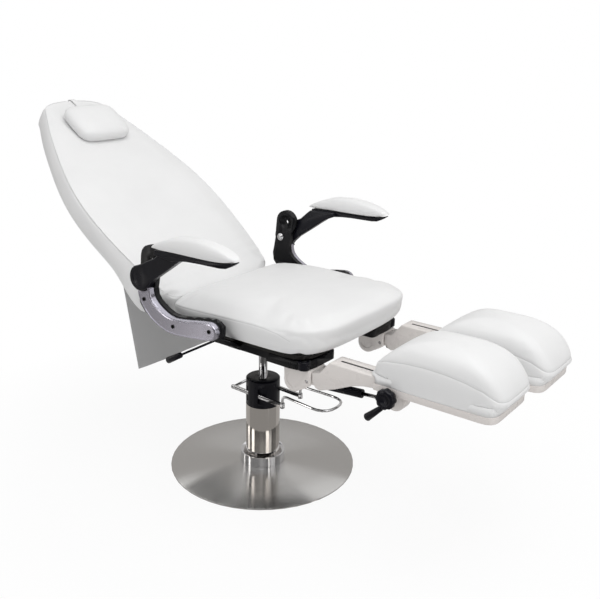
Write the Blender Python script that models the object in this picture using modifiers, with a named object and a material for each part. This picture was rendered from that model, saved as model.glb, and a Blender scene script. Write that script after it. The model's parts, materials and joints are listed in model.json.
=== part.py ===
"""Pedicure spa chair: pump column on a round base, reclining back, flip-up armrests, two leg rests.

Metres, +Z up. The sitter faces -Y, and the origin is on the floor under the column.
"near" is the sitter's right side (-X), "far" the left side (+X).
"""

from math import cos, pi, radians, sin, tan

import bmesh
import bpy
from mathutils import Matrix, Vector

GAP = 0.0003  # clearance between touching pieces

# ---------------------------------------------------------------- driving dimensions
BASE_RADIUS = 0.300
BASE_RIM = 0.0045
BASE_DOME = 0.0095
WEIGHT_TOP = 0.0035
COLLAR_RADIUS = 0.0725
COLLAR_TOP = 0.044
COLUMN_RADIUS = 0.0550
COLUMN_WALL = 0.003
HOUSING_BOTTOM = 0.211
HOUSING_TOP = 0.301
HOUSING_RADIUS = 0.0545
HOUSING_SKIN = 0.0040  # the wall left outside each groove for the pedal's bars
ROD_RADIUS = 0.0138
PEDAL_HALF = 0.046  # half the distance between the two lever bars
PEDAL_AXIS = Vector((0.0, -0.010, 0.2525))

SEAT_HALF = 0.281
SEAT_FRONT = -0.408
SEAT_REAR = 0.150
SEAT_BOTTOM = 0.5325
SEAT_HEIGHT = 0.095
SEAT_PITCH = radians(2.2)
BOARD_THICK = 0.014
FRAME_TOP = SEAT_BOTTOM - BOARD_THICK - 2 * GAP
FRAME_BOTTOM = 0.4950

RECLINE = radians(36.0)  # the back's angle over the floor
BACK_AXIS = Vector((0.0, 0.190, 0.550))
BACK_LENGTH = 0.910
BACK_THICK = 0.0853
BACK_FACE = 0.0486  # from the recline axis to the front face
HINGE_IN = SEAT_HALF - 0.0360
HINGE_OUT = HINGE_IN + 0.0060
LUG_IN = HINGE_OUT + 0.0015
LUG_OUT = LUG_IN + 0.0060
BACK_START = 0.014  # the axis's place along the back, measured from the seat junction

BACK_SPRING_X = 0.085
BACK_SPRING_LEVER = 0.046  # from the recline axis to the spring's rear pin
BACK_SPRING_TURN = radians(-95.0)
BACK_SPRING_FRONT = Vector((BACK_SPRING_X, -0.1275, 0.4300))

SIDE_PLATE_IN = SEAT_HALF + 0.023
SIDE_PLATE_OUT = SIDE_PLATE_IN + 0.016
COVER_OUT = SIDE_PLATE_OUT + 0.021
ARM_AXIS = Vector((0.0, 0.174, 0.675))
ARM_HUB_RADIUS = 0.0375
ARM_HUB_OUT = COVER_OUT + 0.010
ARMREST_X = ARM_HUB_OUT + 0.011
ARMREST_HALF = 0.031
HEAD_CENTRE = (0.153, 0.730)  # the round head of the side plate, in (y, z)
HEAD_RADIUS = 0.040

LEG_X = 0.187
LEG_SWING_Y = -0.290
LEG_HINGE = Vector((0.0, -0.335, 0.455))
LEG_ARM_HALF = 0.031
LEG_ARM_TOP = 0.5270
LEG_ARM_FRONT = -0.618
BRACKET_BOTTOM = 0.4870
BRACKET_TOP = 0.5120
TRAY_REAR = -0.526
TRAY_LENGTH = 0.3455
TRAY_X = 0.1215
TRAY_HALF = 0.103
TRAY_BOTTOM = 0.4935
TRAY_RIM = 0.5113
TRAY_TOP = 0.5325
TRAY_WALL = 0.0027
TRAY_STEP = 0.0023  # the wall stands in by this much above the rim, where the vinyl laps it
EXTENSION = {-1: 0.0, 1: 0.0187}  # how far each leg rest is drawn out beyond the near one
LUG_CENTRE = Vector((0.0, -0.597, 0.4710))
LUG_RADIUS = 0.0285
SPRING_REAR = Vector((0.0, -0.302, 0.4380))
SPRING_FRONT = Vector((0.0, -0.578, 0.4600))
KNOB_AXIS = Vector((0.0, -0.592, 0.4868))
LEVER_AXIS = Vector((0.0, -0.585, 0.4630))

SIDE_NAME = {-1: "near", 1: "far"}


# ---------------------------------------------------------------- scene and materials
for old in list(bpy.data.objects):
    bpy.data.objects.remove(old)

parts = bpy.data.collections.new("pedicure_spa_chair")
cutters = bpy.data.collections.new("cutters")
for made in (parts, cutters):
    bpy.context.scene.collection.children.link(made)


def material(name, colour, roughness, metallic=0.0):
    made = bpy.data.materials.new(name)
    made.use_nodes = True
    shader = made.node_tree.nodes["Principled BSDF"]
    shader.inputs["Base Color"].default_value = (*colour, 1.0)
    shader.inputs["Roughness"].default_value = roughness
    shader.inputs["Metallic"].default_value = metallic
    made.diffuse_color = (*colour, 1.0)
    return made


VINYL = material("white_vinyl", (0.80, 0.80, 0.79), 0.48)
WHITE = material("white_enamel", (0.76, 0.73, 0.71), 0.30)
BLACK = material("black_plastic", (0.012, 0.012, 0.016), 0.40)
BLACK_STEEL = material("black_steel", (0.016, 0.016, 0.018), 0.35, 0.3)
SILVER = material("silver_aluminium", (0.55, 0.54, 0.60), 0.30, 0.8)
CHROME = material("chrome", (0.72, 0.72, 0.74), 0.08, 1.0)
STAINLESS = material("brushed_stainless", (0.52, 0.52, 0.51), 0.25, 1.0)
RAW_STEEL = material("raw_steel", (0.22, 0.22, 0.22), 0.55, 0.9)
PLYWOOD = material("plywood", (0.42, 0.30, 0.18), 0.7)


# ---------------------------------------------------------------- building helpers
def link(obj, mat, cutter=False):
    """Puts an object in its collection, with its material."""
    for held in list(obj.users_collection):
        held.objects.unlink(obj)
    (cutters if cutter else parts).objects.link(obj)
    obj.data.materials.clear()
    obj.data.materials.append(mat)
    if cutter:
        obj.hide_render = True
        obj.display_type = "WIRE"
    return obj


def smooth(obj, angle=35):
    obj.data.shade_smooth()
    obj.data.set_sharp_from_angle(angle=radians(angle))
    return obj


def as_mesh(obj, mat, cutter=False):
    """Turns a curve, or an object with modifiers, into one mesh object of the same name."""
    bpy.context.view_layer.update()
    graph = bpy.context.evaluated_depsgraph_get()
    mesh = bpy.data.meshes.new_from_object(obj.evaluated_get(graph))
    name = obj.name
    world = obj.matrix_world.copy()
    bpy.data.objects.remove(obj)
    bm = bmesh.new()
    bm.from_mesh(mesh)
    bmesh.ops.remove_doubles(bm, verts=bm.verts, dist=1e-5)
    bmesh.ops.recalc_face_normals(bm, faces=bm.faces)
    bm.to_mesh(mesh)
    bm.free()
    made = bpy.data.objects.new(name, mesh)
    made.matrix_world = world
    return link(made, mat, cutter)


def set_origin(obj, point):
    """Moves the object's origin to a point of the world, with its shape left where it is."""
    bpy.context.view_layer.update()
    shift = Vector(point) - obj.matrix_world.translation
    obj.data.transform(Matrix.Translation(-(obj.matrix_world.to_3x3().inverted() @ shift)))
    obj.location = Vector(obj.location) + shift
    bpy.context.view_layer.update()
    return obj


def bevel(obj, width, segments=1, angle=35):
    made = obj.modifiers.new("bevel", "BEVEL")
    made.width = width
    made.segments = segments
    made.limit_method = "ANGLE"
    made.angle_limit = radians(angle)
    made.harden_normals = False
    return obj


def boolean(obj, other, operation):
    made = obj.modifiers.new(operation.lower(), "BOOLEAN")
    made.operation = operation
    made.solver = "EXACT"
    made.object = other
    return obj


def join(obj, *others):
    for other in others:
        boolean(obj, other, "UNION")
    return obj


def cut(obj, *others):
    for other in others:
        boolean(obj, other, "DIFFERENCE")
    return obj


def box(name, low, high, mat=BLACK, cutter=False, round_off=0.0, segments=1):
    """A box between two corners of the world."""
    low, high = Vector(low), Vector(high)
    bpy.ops.mesh.primitive_cube_add(size=1.0, location=(low + high) / 2)
    obj = bpy.context.object
    obj.name = name
    size = [abs(high[i] - low[i]) for i in range(3)]
    obj.data.transform(Matrix.Diagonal((*size, 1.0)))
    link(obj, mat, cutter)
    if round_off:
        bevel(obj, round_off, segments)
    return obj


def cylinder(name, start, end, radius, mat=CHROME, cutter=False, sides=24, round_off=0.0, end_radius=None):
    """A cylinder, or a cone, from one point of the world to another."""
    start, end = Vector(start), Vector(end)
    run = end - start
    bpy.ops.mesh.primitive_cone_add(
        vertices=sides,
        radius1=radius,
        radius2=radius if end_radius is None else end_radius,
        depth=run.length,
        location=(start + end) / 2,
        rotation=run.to_track_quat("Z", "Y").to_euler(),
    )
    obj = bpy.context.object
    obj.name = name
    link(obj, mat, cutter)
    if round_off:
        bevel(obj, round_off, 1, 50)
    return smooth(obj)


def turned(name, profile, mat, cutter=False, sides=48, centre=(0.0, 0.0)):
    """A profile of (radius, height) points turned round a vertical axis, listed down the outer side."""
    bm = bmesh.new()
    verts = [bm.verts.new((radius, 0.0, height)) for radius, height in profile]
    for first, second in zip(verts, verts[1:]):
        bm.edges.new((first, second))
    if profile[0][0] > 0 and profile[-1][0] > 0:
        bm.edges.new((verts[-1], verts[0]))
    mesh = bpy.data.meshes.new(name)
    bm.to_mesh(mesh)
    bm.free()
    obj = bpy.data.objects.new(name, mesh)
    obj.location = (*centre, 0.0)
    link(obj, mat, cutter)
    screw = obj.modifiers.new("screw", "SCREW")
    screw.steps = sides
    screw.render_steps = sides
    screw.use_merge_vertices = True
    screw.merge_threshold = 0.00001
    screw.use_smooth_shade = True
    return obj


def plate(name, outline, low, high, mat, axis="X", cutter=False, rim=0.0, rim_steps=1):
    """A flat outline given thickness along an axis, with its rims bevelled.

    Axis X takes (y, z) points, axis Y takes (x, z) points and axis Z takes (x, y) points.
    """
    low, high = sorted((low, high))
    place = {
        "X": lambda u, v: (low, u, v),
        "Y": lambda u, v: (u, low, v),
        "Z": lambda u, v: (u, v, low),
    }[axis]
    along = {"X": Vector((1, 0, 0)), "Y": Vector((0, 1, 0)), "Z": Vector((0, 0, 1))}[axis]
    bm = bmesh.new()
    face = bm.faces.new([bm.verts.new(place(u, v)) for u, v in outline])
    drawn = bmesh.ops.extrude_face_region(bm, geom=[face])
    moved = [item for item in drawn["geom"] if isinstance(item, bmesh.types.BMVert)]
    bmesh.ops.translate(bm, verts=moved, vec=along * (high - low))
    bmesh.ops.recalc_face_normals(bm, faces=bm.faces)
    mesh = bpy.data.meshes.new(name)
    bm.to_mesh(mesh)
    bm.free()
    obj = link(bpy.data.objects.new(name, mesh), mat, cutter)
    if rim:
        bevel(obj, rim, rim_steps, 50)
    return smooth(obj)


def wire(name, points, radius, mat, cutter=False, sides=8, closed=False):
    """A round bar bent along points."""
    curve = bpy.data.curves.new(name, "CURVE")
    curve.dimensions = "3D"
    curve.bevel_depth = radius
    curve.bevel_resolution = max(0, (sides - 4) // 2)
    curve.use_fill_caps = not closed
    spline = curve.splines.new("POLY")
    spline.points.add(len(points) - 1)
    for point, place in zip(spline.points, points):
        point.co = (*place, 1.0)
    spline.use_cyclic_u = closed
    obj = bpy.data.objects.new(name, curve)
    parts.objects.link(obj)
    return smooth(as_mesh(obj, mat, cutter), 50)


def rounded(points, radius, steps=4):
    """The path with its inner corners rounded by arcs, in two or three dimensions."""
    given = [Vector(p).to_3d() if len(p) == 2 else Vector(p) for p in points]
    out = [given[0]]
    for before, corner, after in zip(given, given[1:], given[2:]):
        first, second = (before - corner), (after - corner)
        reach = min(radius, first.length / 2, second.length / 2)
        start, end = corner + first.normalized() * reach, corner + second.normalized() * reach
        for step in range(steps + 1):
            t = step / steps
            out.append(start * (1 - t) ** 2 + corner * 2 * t * (1 - t) + end * t**2)
    out.append(given[-1])
    return out


def rounded_outline(points, radius, steps=3):
    """A closed outline of (u, v) points with each corner rounded by its own or a shared radius."""
    count = len(points)
    radii = radius if isinstance(radius, (list, tuple)) else [radius] * count
    out = []
    for i, (u, v) in enumerate(points):
        before, corner, after = Vector(points[i - 1]), Vector((u, v)), Vector(points[(i + 1) % count])
        first, second = before - corner, after - corner
        reach = min(radii[i], first.length * 0.49, second.length * 0.49)
        if reach <= 0:
            out.append((u, v))
            continue
        start, end = corner + first.normalized() * reach, corner + second.normalized() * reach
        for step in range(steps + 1):
            t = step / steps
            at = start * (1 - t) ** 2 + corner * 2 * t * (1 - t) + end * t**2
            out.append((at.x, at.y))
    return out


def arc(centre, radius, start, end, steps):
    """Points of an arc, its angles in degrees."""
    return [
        (
            centre[0] + radius * cos(radians(start + (end - start) * i / steps)),
            centre[1] + radius * sin(radians(start + (end - start) * i / steps)),
        )
        for i in range(steps + 1)
    ]


def rings(name, loops, mat):
    """A closed loft through rings of equal point counts, ended by a point at each end."""
    bm = bmesh.new()
    rows = [[bm.verts.new(point) for point in loop] for loop in loops]
    count = len(rows[0])
    for lower, upper in zip(rows, rows[1:]):
        for i in range(count):
            j = (i + 1) % count
            bm.faces.new((lower[i], lower[j], upper[j], upper[i]))
    for row in (rows[0], rows[-1]):
        middle = bm.verts.new(sum((v.co for v in row), Vector()) / count)
        for i in range(count):
            bm.faces.new((row[i], row[(i + 1) % count], middle))
    bmesh.ops.recalc_face_normals(bm, faces=bm.faces)
    mesh = bpy.data.meshes.new(name)
    bm.to_mesh(mesh)
    bm.free()
    obj = bpy.data.objects.new(name, mesh)
    link(obj, mat)
    obj.data.shade_smooth()
    return obj


def soft_rectangle(half_u, v_low, v_high, power, count, low_power=None):
    """A rectangle with rounded corners as a superellipse, its low end rounder if it has a power of its own."""
    middle, half_v = (v_low + v_high) / 2, (v_high - v_low) / 2
    out = []
    for i in range(count):
        angle = 2 * pi * (i + 0.5) / count
        c, s = cos(angle), sin(angle)
        shape = 2 / (low_power if low_power and s < 0 else power)
        u = half_u * abs(c) ** shape * (1 if c > 0 else -1)
        v = middle + half_v * abs(s) ** shape * (1 if s > 0 else -1)
        out.append((u, v))
    return out


def between(table, at):
    """The value at a place, read from a table of (place, value) with smooth steps between them."""
    if at <= table[0][0]:
        return table[0][1]
    for (low, first), (high, second) in zip(table, table[1:]):
        if at <= high:
            t = (at - low) / (high - low)
            t = t * t * (3 - 2 * t) * 0.5 + t * 0.5
            return first + (second - first) * t
    return table[-1][1]


def empty(name, place, turn=(0.0, 0.0, 0.0), parent=None):
    obj = bpy.data.objects.new(name, None)
    obj.empty_display_size = 0.05
    parts.objects.link(obj)
    obj.location = place
    obj.rotation_euler = turn
    if parent:
        keep_parent(obj, parent)
    bpy.context.view_layer.update()
    return obj


def keep_parent(obj, parent):
    """Parents an object with its place in the world kept."""
    bpy.context.view_layer.update()
    obj.parent = parent
    obj.matrix_parent_inverse = parent.matrix_world.inverted()


def put_in(obj, parent):
    """Parents an object that was built in its parent's own axes."""
    obj.parent = parent
    bpy.context.view_layer.update()
    return obj


# ---------------------------------------------------------------- base and pump column
def build_base():
    turned(
        "base_weight_plate",
        [(0.0, WEIGHT_TOP), (BASE_RADIUS - 0.004, WEIGHT_TOP), (BASE_RADIUS - 0.004, 0.0), (0.0, 0.0)],
        RAW_STEEL,
        sides=36,
    )
    skin = 0.0012
    bore = COLUMN_RADIUS + GAP
    outer = [(bore, BASE_DOME), (0.20, BASE_DOME - 0.0012)]
    outer += [(0.295, BASE_RIM + 0.0004), (BASE_RADIUS, BASE_RIM - 0.0014), (BASE_RADIUS, 0.0)]
    inner = [(BASE_RADIUS - skin * 1.5, 0.0), (BASE_RADIUS - skin * 1.5, WEIGHT_TOP + GAP)]
    inner += [(0.20, BASE_DOME - 0.0012 - skin), (bore, BASE_DOME - skin)]
    turned("base_cover", outer + inner, STAINLESS, sides=48)
    bore = COLUMN_RADIUS + GAP
    low, lip = BASE_DOME + GAP, COLLAR_TOP
    turned(
        "base_collar",
        [
            (bore, lip - 0.004),
            (COLLAR_RADIUS - 0.006, lip - 0.003),
            (COLLAR_RADIUS - 0.004, lip),
            (COLLAR_RADIUS, lip - 0.0008),
            (COLLAR_RADIUS, low),
            (bore, low),
        ],
        CHROME,
        sides=36,
    )
    inside = COLUMN_RADIUS - COLUMN_WALL
    top = HOUSING_BOTTOM - GAP
    foot = WEIGHT_TOP + GAP
    turned(
        "column_tube",
        [(inside, top), (COLUMN_RADIUS, top), (COLUMN_RADIUS, foot), (inside, foot)],
        STAINLESS,
        sides=36,
    )
    turned(
        "pump_barrel",
        [
            (ROD_RADIUS + GAP, top),
            (0.024, top),
            (0.024, 0.016),
            (inside - 0.002, 0.016),
            (inside - 0.002, foot),
            (0.0, foot),
            (0.0, 0.012),
            (ROD_RADIUS + GAP, 0.012),
        ],
        RAW_STEEL,
        sides=20,
    )


def build_housing():
    """The black pump head, with a passage each side for the two bars of the pedal lever."""
    low, high = HOUSING_BOTTOM, HOUSING_TOP
    body = turned(
        "pump_housing",
        [
            (ROD_RADIUS + GAP, high - 0.003),
            (0.024, high - 0.0025),
            (HOUSING_RADIUS - 0.0028, high),
            (HOUSING_RADIUS, high - 0.0025),
            (HOUSING_RADIUS, low),
            (ROD_RADIUS + GAP, low),
        ],
        BLACK,
        sides=36,
    )
    reach = HOUSING_RADIUS + 0.02
    for side in (-1, 1):
        groove = box(
            "groove_" + SIDE_NAME[side],
            (side * (PEDAL_HALF - 0.0045), -reach, PEDAL_AXIS.z - 0.025),
            (side * (HOUSING_RADIUS - HOUSING_SKIN), reach, PEDAL_AXIS.z + 0.025),
            cutter=True,
        )
        cut(body, groove)
    bore = cylinder(
        "pin_bore",
        (-PEDAL_HALF - 0.0030, PEDAL_AXIS.y, PEDAL_AXIS.z),
        (PEDAL_HALF + 0.0030, PEDAL_AXIS.y, PEDAL_AXIS.z),
        0.0043,
        cutter=True,
        sides=16,
    )
    cut(body, bore)
    # the pin is in two stubs, because the piston rod runs through the middle
    for side in (-1, 1):
        stub = cylinder(
            "pump_pin_" + SIDE_NAME[side],
            (side * (ROD_RADIUS + 0.006), PEDAL_AXIS.y, PEDAL_AXIS.z),
            (side * (PEDAL_HALF + 0.0040), PEDAL_AXIS.y, PEDAL_AXIS.z),
            0.0040,
            CHROME,
            sides=16,
        )
        set_origin(stub, (side * PEDAL_HALF, PEDAL_AXIS.y, PEDAL_AXIS.z))


def build_pedal():
    """The lever fork, whose bars lie in the grooves, and the bent wire that is stepped on."""
    swing = empty("pedal_axis", PEDAL_AXIS)
    rear, front = Vector((0.094, 0.256)), Vector((-0.118, 0.2505))
    run = front - rear
    bars = []
    for side in (-1, 1):
        half_high = 0.0062
        up = Vector((-run.y, run.x)).normalized() * half_high * (-1)
        bar_outline = [rear + up, rear - up, front - up, front + up]
        low, high = sorted((side * (PEDAL_HALF - 0.0035), side * (PEDAL_HALF + 0.0035)))
        made = plate(
            "pedal_fork" if side < 0 else "pedal_bar_far",
            rounded_outline([tuple(p) for p in bar_outline], 0.0055, 2),
            low,
            high,
            CHROME,
            cutter=side > 0,
        )
        hole = cylinder(
            "fork_bore_" + SIDE_NAME[side],
            (side * (PEDAL_HALF - 0.01), PEDAL_AXIS.y, PEDAL_AXIS.z),
            (side * (PEDAL_HALF + 0.01), PEDAL_AXIS.y, PEDAL_AXIS.z),
            0.0043,
            cutter=True,
            sides=16,
        )
        bars.append((made, hole))
    fork = bars[0][0]
    tie = cylinder(
        "fork_tie",
        (-PEDAL_HALF - 0.006, rear.x - 0.008, rear.y - 0.0005),
        (PEDAL_HALF + 0.006, rear.x - 0.008, rear.y - 0.0005),
        0.0048,
        cutter=True,
        sides=12,
    )
    join(fork, bars[1][0], tie)
    cut(fork, bars[0][1], bars[1][1])
    sockets = []
    for side in (-1, 1):
        sockets.append(
            cylinder(
                "wire_socket_" + SIDE_NAME[side],
                (side * PEDAL_HALF, front.x + 0.002, front.y - 0.0085),
                (side * PEDAL_HALF, front.x + 0.002, front.y + 0.0085),
                0.0075,
                cutter=True,
                sides=14,
            )
        )
    join(fork, *sockets)
    wire_radius = 0.0043
    bores = [
        cylinder(
            "wire_bore_" + SIDE_NAME[side],
            (side * PEDAL_HALF, front.x + 0.002, front.y - 0.02),
            (side * PEDAL_HALF, front.x + 0.002, front.y + 0.02),
            wire_radius + GAP,
            cutter=True,
            sides=14,
        )
        for side in (-1, 1)
    ]
    cut(fork, *bores)
    path = []
    for side in (-1, 1):
        leg = [
            Vector((side * PEDAL_HALF, front.x + 0.002, front.y - 0.010)),
            Vector((side * PEDAL_HALF, front.x + 0.002, 0.2835)),
            Vector((side * 0.0580, -0.2870, 0.2790)),
        ]
        path += leg if side < 0 else leg[::-1]
    loop = rounded(path[:3], 0.018, 3)[:-1] + rounded(path[1:5], 0.056, 5)[1:-1] + rounded(path[3:], 0.018, 3)[1:]
    tread = wire("pedal_loop", loop, wire_radius, CHROME, sides=8)
    for obj in (fork, tread):
        set_origin(obj, PEDAL_AXIS)
        keep_parent(obj, swing)


# ---------------------------------------------------------------- seat
def build_lift_and_seat():
    lift = empty("lift_axis", (0.0, 0.0, HOUSING_TOP))
    rod = cylinder("piston_rod", (0, 0, 0.067), (0, 0, 0.455), ROD_RADIUS, CHROME, sides=20)
    set_origin(rod, lift.location)
    keep_parent(rod, lift)

    seat = empty("seat_axis", (0.0, 0.0, 0.440))
    hub = turned(
        "seat_hub",
        [
            (0.0, 0.470),
            (0.056, 0.470),
            (0.056, 0.462),
            (0.036, 0.456),
            (0.030, 0.400),
            (ROD_RADIUS + GAP, 0.400),
            (ROD_RADIUS + GAP, 0.455 + GAP),
            (0.0, 0.455 + GAP),
        ],
        BLACK_STEEL,
        sides=24,
    )
    set_origin(hub, seat.location)
    keep_parent(hub, seat)
    build_frame(seat)

    half, rear, front = SEAT_HALF - 0.035, SEAT_REAR - 0.022, SEAT_FRONT + 0.065
    corners = [(-half, rear), (-half, front), (half, front), (half, rear)]
    top = SEAT_BOTTOM - GAP
    board = plate(
        "seat_board",
        rounded_outline(corners, [0.02, 0.07, 0.07, 0.02], 4),
        top - BOARD_THICK,
        top,
        PLYWOOD,
        axis="Z",
    )
    for obj in (board, seat_cushion()):
        set_origin(obj, seat.location)
        keep_parent(obj, seat)
    return lift, seat


def seat_cushion():
    """The seat cushion: level bottom, pitched and crowned top, sides drawn in below, a seam round the top."""
    count = 44
    rear, front = SEAT_REAR, SEAT_FRONT
    pivot = -0.130  # where the pitched top is at its stated height
    side_rings = [
        # height, inset at the sides, inset at the front, inset at the rear
        (0.0000, 0.016, 0.034, 0.0130),
        (0.0160, 0.005, 0.017, 0.0105),
        (0.0380, 0.000, 0.004, 0.0080),
        (0.0600, 0.0010, 0.0010, 0.0015),
        (0.0640, 0.0045, 0.0035, 0.0040),
        (0.0680, 0.0035, 0.0025, 0.0020),
    ]

    def placed(u, v, height):
        lean = (pivot - v) * tan(SEAT_PITCH) * min(1.0, height / 0.060)
        return (u, v, SEAT_BOTTOM + height + lean)

    loops = []
    for height, at_side, at_front, at_rear in side_rings:
        loop = soft_rectangle(SEAT_HALF - at_side, front + at_front, rear - at_rear, 10.0, count, 4.2)
        loops.append([placed(u, v, height) for u, v in loop])
    edge = soft_rectangle(SEAT_HALF - 0.004, front + 0.003, rear - 0.003, 10.0, count, 4.2)
    middle = (front + rear) / 2
    for share, rise in ((0.96, 0.34), (0.87, 0.64), (0.70, 0.86), (0.40, 0.98)):
        height = 0.0680 + (SEAT_HEIGHT - 0.0680) * rise
        loops.append([placed(u * share, middle + (v - middle) * share, height) for u, v in edge])
    return rings("seat_cushion", loops, VINYL)


def build_frame(seat):
    """Black steel: two rails, two cross members, a bracket box at each front corner."""
    rail_in, rail_out = 0.205, 0.240
    arm_end = SIDE_PLATE_IN - GAP
    low, high = FRAME_BOTTOM, FRAME_TOP
    frame = box("seat_frame", (-0.10, -0.300, 0.4875), (0.10, -0.262, high), BLACK_STEEL, round_off=0.002)
    pieces = [
        box("hub_plate", (-0.064, -0.064, 0.4703), (0.064, 0.064, 0.4830), cutter=True),
        box("spine_near", (-0.060, -0.280, 0.4790), (-0.028, 0.090, 0.5000), cutter=True),
        box("spine_far", (0.028, -0.280, 0.4790), (0.060, 0.090, 0.5000), cutter=True),
        box("rear_cross", (-LUG_OUT + 0.001, 0.060, low), (LUG_OUT - 0.001, 0.098, high), cutter=True),
        box("mid_cross", (-0.238, -0.145, low), (0.238, -0.110, high), cutter=True),
    ]
    for side in (-1, 1):
        lows, highs = sorted((side * rail_in, side * rail_out))
        pieces.append(box("rail_" + SIDE_NAME[side], (lows, -0.22, low), (highs, 0.098, high), cutter=True))
        pieces.append(
            plate(
                "side_flange_" + SIDE_NAME[side],
                [(-0.105, 0.5300), (0.085, 0.5400), (0.085, 0.5700), (-0.098, 0.5700)],
                side * (arm_end - 0.006),
                side * arm_end,
                BLACK_STEEL,
                cutter=True,
            )
        )
        root, shoulder = 0.232, SEAT_HALF - 0.019
        arm = [(root, low), (shoulder, 0.5060), (SEAT_HALF + 0.0165, 0.5290), (arm_end, 0.5300)]
        arm += [(arm_end, 0.5420), (SEAT_HALF + 0.0130, 0.5400), (shoulder, high), (root, high)]
        arm = [(side * u, v) for u, v in arm]
        pieces.append(
            plate("side_arm_" + SIDE_NAME[side], arm, -0.130, -0.092, BLACK_STEEL, axis="Y", cutter=True)
        )
        lug = arc((BACK_AXIS.y, BACK_AXIS.z), 0.0135, -60, 150, 8)
        lug += [(0.140, 0.5205), (0.098, high), (0.062, high), (0.062, low), (0.098, low), (0.150, 0.5050)]
        pieces.append(
            plate("back_lug_" + SIDE_NAME[side], lug, side * LUG_IN, side * LUG_OUT, BLACK_STEEL, cutter=True)
        )
        corner = [
            (side * 0.098, -0.205),
            (side * 0.098, -0.342),
            (side * 0.240, -0.342),
            (side * 0.240, -0.205),
        ]
        radii = [0.004, 0.012, 0.055, 0.004]
        pieces.append(
            plate(
                "corner_" + SIDE_NAME[side],
                rounded_outline(corner, radii, 4),
                BRACKET_BOTTOM,
                BRACKET_TOP,
                BLACK_STEEL,
                axis="Z",
                cutter=True,
            )
        )
    join(frame, *pieces)
    notch = box(
        "spring_notch",
        (BACK_SPRING_X - 0.015, 0.050, low - 0.010),
        (BACK_SPRING_X + 0.015, 0.110, low + 0.009),
        cutter=True,
    )
    cut(frame, notch)
    for side in (-1, 1):
        lug_bore = cylinder(
            "lug_bore_" + SIDE_NAME[side],
            (side * (LUG_IN - 0.005), BACK_AXIS.y, BACK_AXIS.z),
            (side * (LUG_OUT + 0.005), BACK_AXIS.y, BACK_AXIS.z),
            0.0063,
            cutter=True,
            sides=12,
        )
        cut(frame, lug_bore)
        bore = cylinder(
            "swing_bore_" + SIDE_NAME[side],
            (side * LEG_X, LEG_SWING_Y, 0.48),
            (side * LEG_X, LEG_SWING_Y, 0.53),
            0.0063,
            cutter=True,
            sides=16,
        )
        cut(frame, bore)
        bolt = turned(
            "leg_bolt_" + SIDE_NAME[side],
            [
                (0.0, BRACKET_TOP + 0.0055),
                (0.0085, BRACKET_TOP + 0.0055),
                (0.0105, BRACKET_TOP + 0.0038),
                (0.0105, BRACKET_TOP + GAP),
                (0.0060, BRACKET_TOP + GAP),
                (0.0060, 0.4735),
                (0.0, 0.4735),
            ],
            CHROME,
            sides=16,
            centre=(side * LEG_X, LEG_SWING_Y),
        )
        set_origin(bolt, (side * LEG_X, LEG_SWING_Y, BRACKET_BOTTOM))
        keep_parent(bolt, seat)
    set_origin(frame, seat.location)
    keep_parent(frame, seat)


def side_cover_outline():
    top = arc((ARM_AXIS.y, ARM_AXIS.z), ARM_HUB_RADIUS + 0.0010, -146, -66, 5)
    rear = [(0.1915, 0.6300), (0.1900, 0.6180), (0.1800, 0.5990), (0.1640, 0.5770), (0.1400, 0.5560)]
    lower = [(0.1090, 0.5400), (0.0750, 0.5300), (0.0400, 0.5285), (0.0000, 0.5325), (-0.0600, 0.5400)]
    nose = [(-0.0950, 0.5455), (-0.1090, 0.5530), (-0.1145, 0.5660), (-0.1120, 0.5820), (-0.1010, 0.5930)]
    upper = [(-0.0850, 0.5965), (-0.0560, 0.5930), (-0.0180, 0.5860), (0.0170, 0.5800), (0.0490, 0.5766)]
    front = [(0.0726, 0.5792), (0.0925, 0.5868), (0.1123, 0.5975), (0.1282, 0.6092), (0.1390, 0.6225)]
    return top + rear + lower + nose + upper + front + [(0.1420, 0.6380)]


def side_plate_outline():
    head = arc(HEAD_CENTRE, HEAD_RADIUS, 180, 0, 12)
    rear = [(0.1960, 0.7000), (0.1975, 0.6700), (0.2030, 0.6400), (0.2085, 0.6150), (0.2050, 0.5880)]
    lower = [(0.1850, 0.5640), (0.1480, 0.5480), (0.1110, 0.5345), (0.0750, 0.5240), (0.0400, 0.5225)]
    nose = [(0.0000, 0.5265), (-0.0600, 0.5345), (-0.1000, 0.5410), (-0.1170, 0.5530), (-0.1180, 0.5850)]
    upper = [(-0.1030, 0.5965), (-0.0850, 0.6000), (-0.0540, 0.5965), (-0.0160, 0.5895), (0.0180, 0.5835)]
    front = [(0.0490, 0.5800), (0.0715, 0.5826), (0.0910, 0.5900), (0.1105, 0.6005), (0.1260, 0.6120)]
    return head + rear + lower + nose + upper + front + [(0.1365, 0.6245), (0.1395, 0.6450), (0.1300, 0.6900)]


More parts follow.
